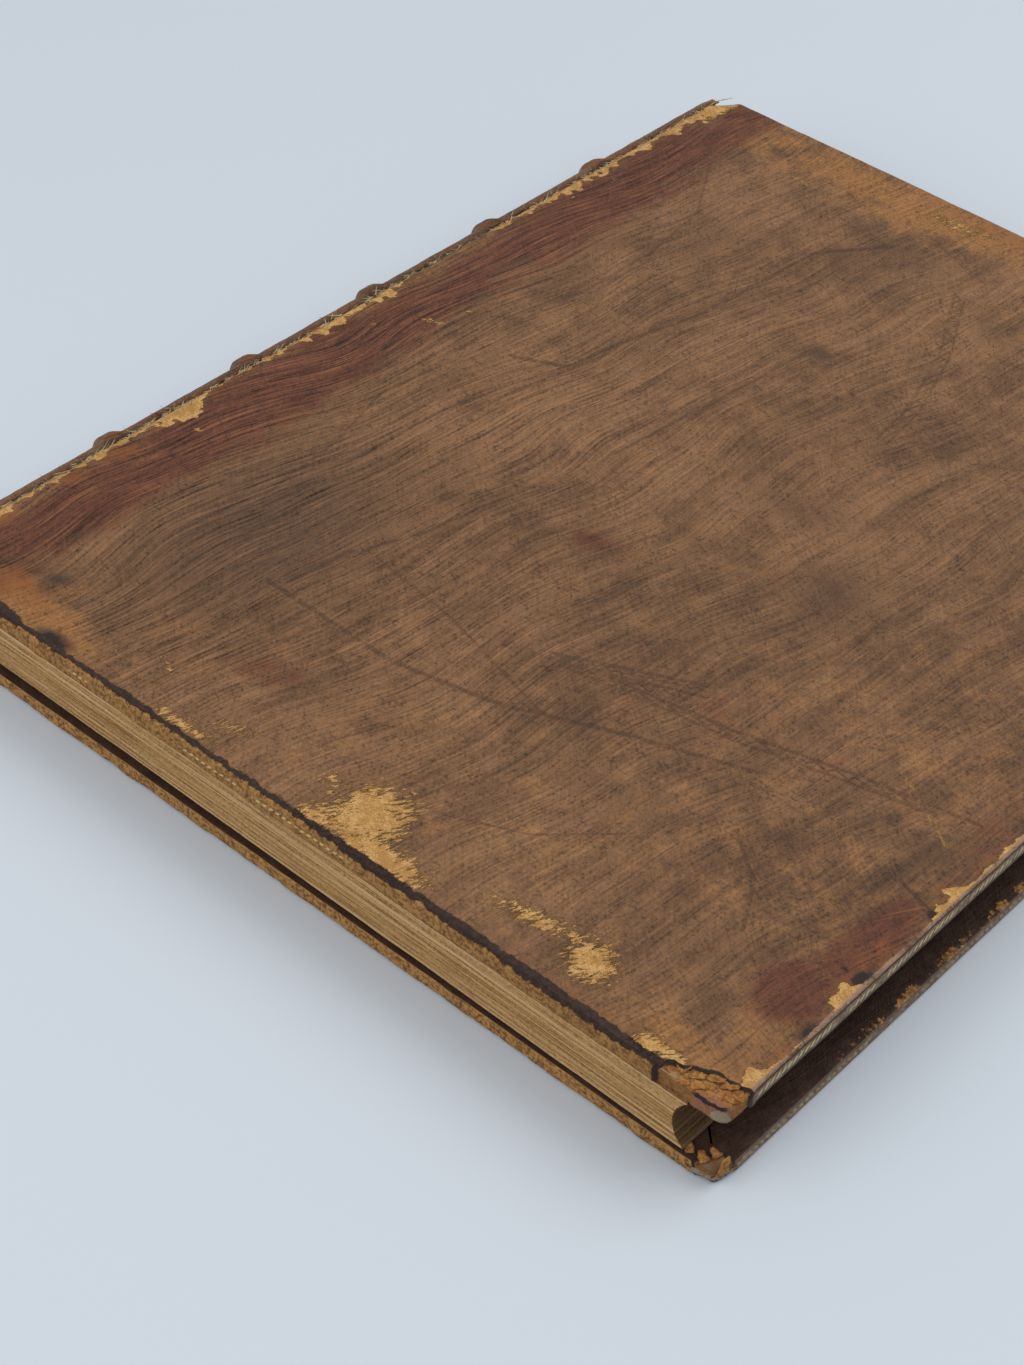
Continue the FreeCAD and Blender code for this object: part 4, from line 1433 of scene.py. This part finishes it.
def band_lift(up):
    """How far the bands lift the spine's calf at each place up the spine."""
    lift = np.zeros_like(up)
    for share in BAND_PLACES:
        away = np.abs(up - share * BOARD_HEIGHT)
        ramp = np.clip((away - BAND_HALF_TOP) / (BAND_HALF_WIDTH - BAND_HALF_TOP), 0, 1)
        lift = np.maximum(lift, BAND_LIFT * (0.5 + 0.5 * np.cos(math.pi * ramp)))
    return lift


def build_spine():
    """Calf over the back and bands, curled over at the tail and torn off at the head."""
    step = sizes().spine_step / MM
    count_across = int(SPINE_RUN / step)
    shares = np.linspace(0, 1, count_across)
    tail_up = SPINE_LOW[1] - TAIL_Y
    head_up = BOARD_HEIGHT - np.interp(shares, *zip(*SPINE_TEAR))
    head_up += 0.5 * grain(np.stack([shares * 30, shares * 0, shares * 0], axis=1), 1.4, 51)
    base_up = np.arange(tail_up + 1.0, BOARD_HEIGHT - HEAD_RUN, step)
    last = np.linspace(0, 1, int(HEAD_RUN / step))[1:]

    outer = []
    inner = []
    for inset, rise, inner_inset, inner_rise in TAIL_CURL:
        outer.append((inset, np.full(count_across, tail_up + rise)))
        inner.append((inner_inset, np.full(count_across, tail_up + inner_rise)))
    for up in base_up:
        outer.append((0.0, np.full(count_across, up)))
        inner.append((SPINE_THICKNESS, np.full(count_across, up)))
    for share in last:
        ups = base_up[-1] + share * (head_up - base_up[-1])
        outer.append((0.0, ups))
        inner.append((SPINE_THICKNESS, ups))

    shape = Shape()
    grids = []
    for rows, outside in ((outer, True), (inner, False)):
        grid = []
        for inset, ups in rows:
            x, z, normal_x, normal_z, shift = spine_profile(shares, inset)
            lift = band_lift(ups) * (WORN_BANDS if outside else 1)
            across = x - JOINT_X - lift * shift
            places = np.stack([across, ups, z], axis=1)
            rough = 0.09 * grain(places, 6.0, 52) + 0.05 * grain(places, 1.8, 53)
            joint_away = np.minimum(shares, 1 - shares) * SPINE_RUN
            near_joint = smooth(2.6, 0.4, joint_away + 0.8 * grain(places, 2.5, 54)) * (shares < 0.5)
            torn_head = smooth(4.0, 0.5, head_up - ups + 1.2 * grain(places, 2.0, 55))
            if outside:
                sink = rough - 0.3 * near_joint - 0.35 * torn_head
                places[:, 0] += normal_x * sink
                places[:, 2] += normal_z * sink
            top = smooth(1.4, 2.3, lift + 0.5 * grain(places, 3.0, 56))
            scuff = np.maximum(near_joint * 0.2, np.maximum(torn_head, 0.3 * top))
            # Painted shade of the joint cracks: the calf darkened towards its edges at both joints
            crack = 1.4 * smooth(1.5, 0.4, joint_away)
            tone = np.stack([0.3 * top, np.maximum(0.4 + 0.3 * near_joint, crack), 0.35 + 0 * top], axis=1)
            stain = np.stack([0.3 * top + 0.5 * near_joint, 0 * top, 0.4 + 0 * top], axis=1)
            wear = np.stack([scuff, np.where(torn_head > 0.6, 1.0, AWAY), 0 * top], axis=1)
            edge = np.stack([0 * top, AWAY + 0 * top, 0 * top], axis=1)
            world = places + (JOINT_X, TAIL_Y, 0)
            grid.append(shape.add(world, tone=tone, wear=wear, mark=edge * 0, edge=edge, stain=stain))
        grids.append(np.array(grid))
        shape.weave(np.array(grid), flip=not outside)
    shape.weave(np.array([rim(grid) for grid in grids]), flip=True)
    shape.make("spine_calf", calf_finish("spine_calf"), "text_block", ["spine_leather"])


def build_endband(name, up, node):
    """Core wound with thread, bent round the back of the leaves."""
    pitch = sizes().thread_pitch / MM
    steps = int(ENDBAND_RUN / pitch * 6)
    shares = np.linspace(0.06, 0.94, steps)
    inset = BLOCK_INSET + ENDBAND_RADIUS + 2 * GLUE
    x, z, normal_x, normal_z, _ = spine_profile(shares, inset)
    shape = Shape()
    grid = []
    for side in range(ENDBAND_SIDES + 1):
        turn = 2 * math.pi * side / ENDBAND_SIDES
        wound = np.abs(np.sin(math.pi * (shares * ENDBAND_RUN / pitch) + turn * 0.5))
        radius = ENDBAND_RADIUS * (0.86 + 0.14 * wound)
        out = radius * math.cos(turn)
        rise = radius * math.sin(turn)
        places = np.stack([x - JOINT_X + normal_x * out, up + rise, z + normal_z * out], axis=1)
        grid.append(shape.add(places + (JOINT_X, TAIL_Y, 0)))
    grid[-1] = grid[0]
    grid = np.array(grid)
    shape.weave(grid)
    shape.fan(grid[:-1, 0], flip=True)
    shape.fan(grid[:-1, -1])
    tint = colours()
    finish = cord_finish(name, tint.thread, sizes().thread_pitch / MM)
    shape.make(name, finish, "text_block", [node])


def strand(shape, start, heading, reach, width, curl, random):
    """One torn fibre: a thin tapering ribbon with three sides."""
    heading = np.array(heading) / np.linalg.norm(heading)
    aside = np.cross(heading, random.normal(size=3))
    aside /= np.linalg.norm(aside)
    third = np.cross(heading, aside)
    rows = []
    steps = 4
    place = np.array(start, float)
    for number in range(steps + 1):
        share = number / steps
        half = width / 2 * (1 - 0.8 * share)
        ring = []
        for turn in (0, 2.1, 4.2):
            ring.append(place + half * (math.cos(turn) * aside + math.sin(turn) * third))
        rows.append(shape.add(np.array(ring)))
        place = place + heading * reach / steps
        heading = heading + curl * aside / steps + random.normal(size=3) * 0.18
        heading /= np.linalg.norm(heading)
    grid = np.array([np.append(row, row[0]) for row in rows])
    shape.weave(grid)
    shape.fan(rows[0], flip=True)
    shape.fan(rows[-1])


def fibre_finish():
    """Pale and golden fibres, some of them blackened."""
    tint = colours()
    finish = Finish("torn_fibres")
    spot = finish.spot()
    share = finish.noise(spot, 2.0, 3.0)
    base = finish.mix(finish.step(share, 0.36, 0.5), tint.suede, tint.fibre)
    base = finish.mix(finish.step(finish.noise(spot, 3.0, 3.0), 0.5, 0.62), base, tint.crust)
    finish.surface(Base_Color=base, Roughness=0.9)
    return finish.material


def build_fibres():
    """Torn fibres along the cracked upper joint, some on the cover and some on the spine."""
    random = np.random.default_rng(61)
    total = sizes().fibres
    reach = sizes().fibre_length / MM
    finish = fibre_finish()
    sides = (("cover_fibres", "front_cover", True), ("spine_fibres", "text_block", False))
    for name, body, on_cover in sides:
        shape = Shape()
        for number in range(total // 2):
            up = random.uniform(7, BOARD_HEIGHT - 7)
            if number % 3 == 0:
                up = random.choice(FRAYED_PLACES) + random.normal() * 2.4
            way = random.choice((-1, 1))
            if on_cover:
                across = random.uniform(0.3, 1.0)
                sunk = random.uniform(0.1, 0.7)
                start = (JOINT_X + across, TAIL_Y + up, BOOK_THICKNESS - sunk)
                heading = (-random.uniform(0.0, 0.5), way, random.uniform(-0.25, 0.12))
            else:
                start = (SPINE_EDGE_X - 0.1, TAIL_Y + up, BOOK_THICKNESS - random.uniform(0.5, 1.0))
                heading = (random.uniform(0.0, 0.5), way, random.uniform(-0.05, 0.3))
            size = random.uniform(0.4, 2.2)
            width = random.uniform(0.2, 0.5)
            curl = random.normal() * 0.6
            strand(shape, start, heading, reach * size, width, curl, random)
        shape.make(name, finish, body)


def flake(shape, place, along, outward, reach, width, curl, random):
    """Curled scale of torn calf, thick where it is still held and thin at its free end."""
    along = np.array(along, float) / np.linalg.norm(along)
    outward = np.array(outward, float)
    aside = np.cross(outward, along)
    rows = []
    ragged = random.uniform(0.75, 1.2, (7, 2))
    for layer in (1, 0):
        grid = []
        for number in range(7):
            share = number / 6
            half = width / 2 * (1 - 0.55 * share ** 2)
            thick = 0.3 * (1 - 0.7 * share) * layer
            middle = np.array(place) + along * reach * share * (1 - 0.3 * curl * share)
            middle = middle + outward * (curl * reach * 0.45 * share ** 2 + thick)
            line = []
            for side in (-1.0, -0.4, 0.3, 1.0):
                spread = side * half * ragged[number, 0 if side < 0 else 1]
                line.append(middle + aside * spread + outward * 0.12 * reach * curl * side ** 2)
            points = np.array(line)
            count = len(points)
            tone = np.tile([0.5, 0.0, 0.0], (count, 1))
            wear = np.tile([0.5, 1.0, 0.0], (count, 1))
            edge = np.tile([0.0, AWAY, 0.0], (count, 1))
            numbers = shape.add(points, tone=tone, wear=wear, mark=edge * 0, edge=edge)
            grid.append(numbers)
        rows.append(np.array(grid))
        shape.weave(np.array(grid), flip=layer == 1)
    shape.weave(np.array([rim(grid) for grid in rows]))


def build_flakes():
    """Curled scales of torn calf at both near corners."""
    random = np.random.default_rng(81)
    finish = calf_finish("torn_flakes")
    shape = Shape()
    for across, up, reach, width, turn, curl in UPPER_FLAKES:
        heading = (math.cos(math.radians(turn)), math.sin(math.radians(turn)), 0)
        place = (JOINT_X + across, TAIL_Y + up, BOOK_THICKNESS - 0.55)
        flake(shape, place, heading, (0, 0, 1), reach, width, curl, random)
    shape.make("upper_corner_flakes", finish, "front_cover")

    shape = Shape()
    inner = BOOK_THICKNESS - INNER_FACE
    for across, up, z, along, outward, reach, width, curl in LOWER_FLAKES:
        place = (JOINT_X + across, TAIL_Y + up, inner + z)
        flake(shape, place, along, outward, reach, width, curl, random)
    shape.make("lower_corner_flakes", finish, "back_cover")


def build_lower_joint():
    """Unbroken calf over the lower joint."""
    ups = np.linspace(JOINT_STRIP_FROM_END, BOARD_HEIGHT - JOINT_STRIP_FROM_END, JOINT_STRIP_POINTS)
    shape = Shape()
    grid = []
    for across, z in JOINT_STRIP + JOINT_STRIP[:1]:
        line = np.stack([ups * 0 + across, ups, ups * 0], axis=1)
        ragged = 0.35 * grain(line, 3.0, 71) * (abs(across) > 2)
        places = np.stack([across + ragged, ups, np.full(len(ups), z)], axis=1)
        tone = np.tile([0.2, 0.4, 0.4], (len(ups), 1))
        wear = np.tile([0.2, AWAY, 0.0], (len(ups), 1))
        edge = np.tile([0.0, AWAY, 0.0], (len(ups), 1))
        grid.append(shape.add(places + (JOINT_X, TAIL_Y, 0), tone=tone, wear=wear, mark=edge * 0, edge=edge))
    grid[-1] = grid[0]
    grid = np.array(grid)
    shape.weave(grid, flip=True)
    shape.fan(grid[:-1, 0])
    shape.fan(grid[:-1, -1], flip=True)
    strip = shape.make("lower_joint_calf", calf_finish("lower_joint_calf"))
    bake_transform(strip)


def dress_nodes():
    """Finishes for the solids that are carried over as they are."""
    tint = colours()
    page = paper_finish("page", tint.page, 0.5)
    endpaper = paper_finish("endpaper", tint.endpaper, 0.8)
    board = board_finish()
    hemp = cord_finish("hemp", tint.hemp, 1.1)
    lining = paper_finish("lining", tint.pasteboard, 0.6)
    for name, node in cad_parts.items():
        if name == "text_block":
            finish = page
        elif name.endswith("pastedown"):
            finish = endpaper
        elif name.endswith("board"):
            finish = board
        elif "lining" in name:
            finish = lining
        else:
            finish = hemp
        node.data.materials.clear()
        node.data.materials.append(finish)


# Camera fitted to the photograph, then the lamps' names, places and watts, with places in metres
CAMERA_PLACE = (0.28724, -0.43080, 0.41465)
CAMERA_AZIMUTH = 38.518
CAMERA_ELEVATION = 41.577
CAMERA_ROLL = 4.140
CAMERA_LENS = 72.31
SENSOR_WIDTH = 36
LAMPS = (
    ("soft_key", (0.55, 0.75, 1.25), 12),
    ("soft_fill", (-0.35, -1.1, 0.9), 9),
)
LAMP_SIZE = 1.2
FLOOR_HALF = 4.0
SURROUNDINGS = (0.86, 0.87, 0.88, 1)
SURROUNDINGS_STRENGTH = 0.55


def place_camera():
    """Camera at the photograph's viewing angle, turned about its own line of sight by its roll."""
    turn = math.radians(CAMERA_AZIMUTH)
    rise = math.radians(CAMERA_ELEVATION)
    roll = math.radians(CAMERA_ROLL)
    right = Vector((math.cos(turn), math.sin(turn), 0))
    upward = Vector((-math.sin(turn) * math.sin(rise), math.cos(turn) * math.sin(rise), math.cos(rise)))
    rolled_right = right * math.cos(roll) + upward * math.sin(roll)
    rolled_up = upward * math.cos(roll) - right * math.sin(roll)
    back = rolled_right.cross(rolled_up)
    data = bpy.data.cameras.new("camera")
    data.lens = CAMERA_LENS
    data.sensor_width = SENSOR_WIDTH
    camera = bpy.data.objects.new("camera", data)
    columns = Matrix((rolled_right, rolled_up, back)).transposed().to_4x4()
    camera.matrix_world = Matrix.Translation(CAMERA_PLACE) @ columns
    bpy.context.collection.objects.link(camera)
    bpy.context.scene.camera = camera


def place_lamp(name, place, watts):
    """Square soft lamp that points at the book."""
    data = bpy.data.lights.new(name, "AREA")
    data.shape = "SQUARE"
    data.size = LAMP_SIZE
    data.energy = watts
    lamp = bpy.data.objects.new(name, data)
    lamp.location = place
    lamp.rotation_euler = (-Vector(place)).to_track_quat("-Z", "Y").to_euler()
    bpy.context.collection.objects.link(lamp)


def build_stage():
    """Pale floor, soft light from behind the head on the right, pale surroundings and the camera."""
    tint = colours()
    finish = Finish("floor")
    finish.surface(Base_Color=tint.floor, Roughness=0.75, Specular_IOR_Level=0.2)
    mesh = bpy.data.meshes.new("floor")
    corners = [(x * FLOOR_HALF, y * FLOOR_HALF, 0) for x, y in ((-1, -1), (1, -1), (1, 1), (-1, 1))]
    mesh.from_pydata(corners, [], [(0, 1, 2, 3)])
    mesh.materials.append(finish.material)
    floor = bpy.data.objects.new("floor", mesh)
    bpy.context.collection.objects.link(floor)

    world = bpy.data.worlds.new("surroundings")
    bpy.context.scene.world = world
    world.use_nodes = True
    background = world.node_tree.nodes["Background"]
    background.inputs["Color"].default_value = SURROUNDINGS
    background.inputs["Strength"].default_value = SURROUNDINGS_STRENGTH
    for name, place, watts in LAMPS:
        place_lamp(name, place, watts)
    bpy.context.scene.view_settings.view_transform = "Standard"
    place_camera()


class BOOK_OT_upper_cover(bpy.types.Operator):
    """Lay worn calf over the upper cover"""

    bl_idname = "book.upper_cover"
    bl_label = "Upper cover calf"

    def execute(self, context):
        build_cover("upper_cover_calf", False, UPPER_NEAR_RADIUS, upper_wear)
        return {"FINISHED"}


class BOOK_OT_lower_cover(bpy.types.Operator):
    """Lay worn calf over the lower cover"""

    bl_idname = "book.lower_cover"
    bl_label = "Lower cover calf"

    def execute(self, context):
        build_cover("lower_cover_calf", True, LOWER_NEAR_RADIUS, lower_wear)
        return {"FINISHED"}


class BOOK_OT_spine(bpy.types.Operator):
    """Mould calf over the spine and its raised bands"""

    bl_idname = "book.spine"
    bl_label = "Spine calf"

    def execute(self, context):
        build_spine()
        return {"FINISHED"}


class BOOK_OT_leaves(bpy.types.Operator):
    """Lay the cut edges of the leaves over the block"""

    bl_idname = "book.leaves"
    bl_label = "Leaf edges"

    def execute(self, context):
        build_leaf_edges()
        return {"FINISHED"}


class BOOK_OT_endbands(bpy.types.Operator):
    """Wind thread round the endbands"""

    bl_idname = "book.endbands"
    bl_label = "Endbands"

    def execute(self, context):
        rise = ENDBAND_RADIUS + 2 * GLUE
        build_endband("tailband_thread", TAIL_SQUARE_AT_FOLDS - rise, "tailband")
        build_endband("headband_thread", BOARD_HEIGHT - HEAD_SQUARE + rise, "headband")
        return {"FINISHED"}


class BOOK_OT_joints(bpy.types.Operator):
    """Tear the upper joint's calf and lay calf over the lower one"""

    bl_idname = "book.joints"
    bl_label = "Joints"

    def execute(self, context):
        build_fibres()
        build_lower_joint()
        return {"FINISHED"}


class BOOK_OT_flakes(bpy.types.Operator):
    """Curl scales of torn calf at the near corners"""

    bl_idname = "book.flakes"
    bl_label = "Torn flakes"

    def execute(self, context):
        build_flakes()
        return {"FINISHED"}


class BOOK_OT_nodes(bpy.types.Operator):
    """Give the carried-over solids their finishes"""

    bl_idname = "book.nodes"
    bl_label = "Paper, board and cord"

    def execute(self, context):
        dress_nodes()
        return {"FINISHED"}


class BOOK_OT_stage(bpy.types.Operator):
    """Set up the floor, the light and the camera"""

    bl_idname = "book.stage"
    bl_label = "Stage"

    def execute(self, context):
        build_stage()
        return {"FINISHED"}


OPERATORS = (
    BOOK_OT_stage,
    BOOK_OT_nodes,
    BOOK_OT_upper_cover,
    BOOK_OT_lower_cover,
    BOOK_OT_spine,
    BOOK_OT_leaves,
    BOOK_OT_endbands,
    BOOK_OT_joints,
    BOOK_OT_flakes,
)


class BOOK_PT_panel(bpy.types.Panel):
    """Sizes, colours and steps of the book"""

    bl_idname = "BOOK_PT_panel"
    bl_label = "Antique book"
    bl_space_type = "VIEW_3D"
    bl_region_type = "UI"
    bl_category = "Antique book"

    def draw(self, context):
        for group in (context.scene.book_sizes, context.scene.book_colours):
            box = self.layout.box()
            for name in group.__annotations__:
                box.prop(group, name)
        for operator in OPERATORS:
            self.layout.operator(operator.bl_idname)


CLASSES = (BookSizes, BookColours) + OPERATORS + (BOOK_PT_panel,)


def register():
    for item in CLASSES:
        bpy.utils.register_class(item)
    bpy.types.Scene.book_sizes = PointerProperty(type=BookSizes)
    bpy.types.Scene.book_colours = PointerProperty(type=BookColours)


def unregister():
    del bpy.types.Scene.book_colours
    del bpy.types.Scene.book_sizes
    for item in reversed(CLASSES):
        bpy.utils.unregister_class(item)


def main():
    register()
    for operator in OPERATORS:
        group, name = operator.bl_idname.split(".")
        getattr(getattr(bpy.ops, group), name)()


if __name__ == "__main__":
    main()
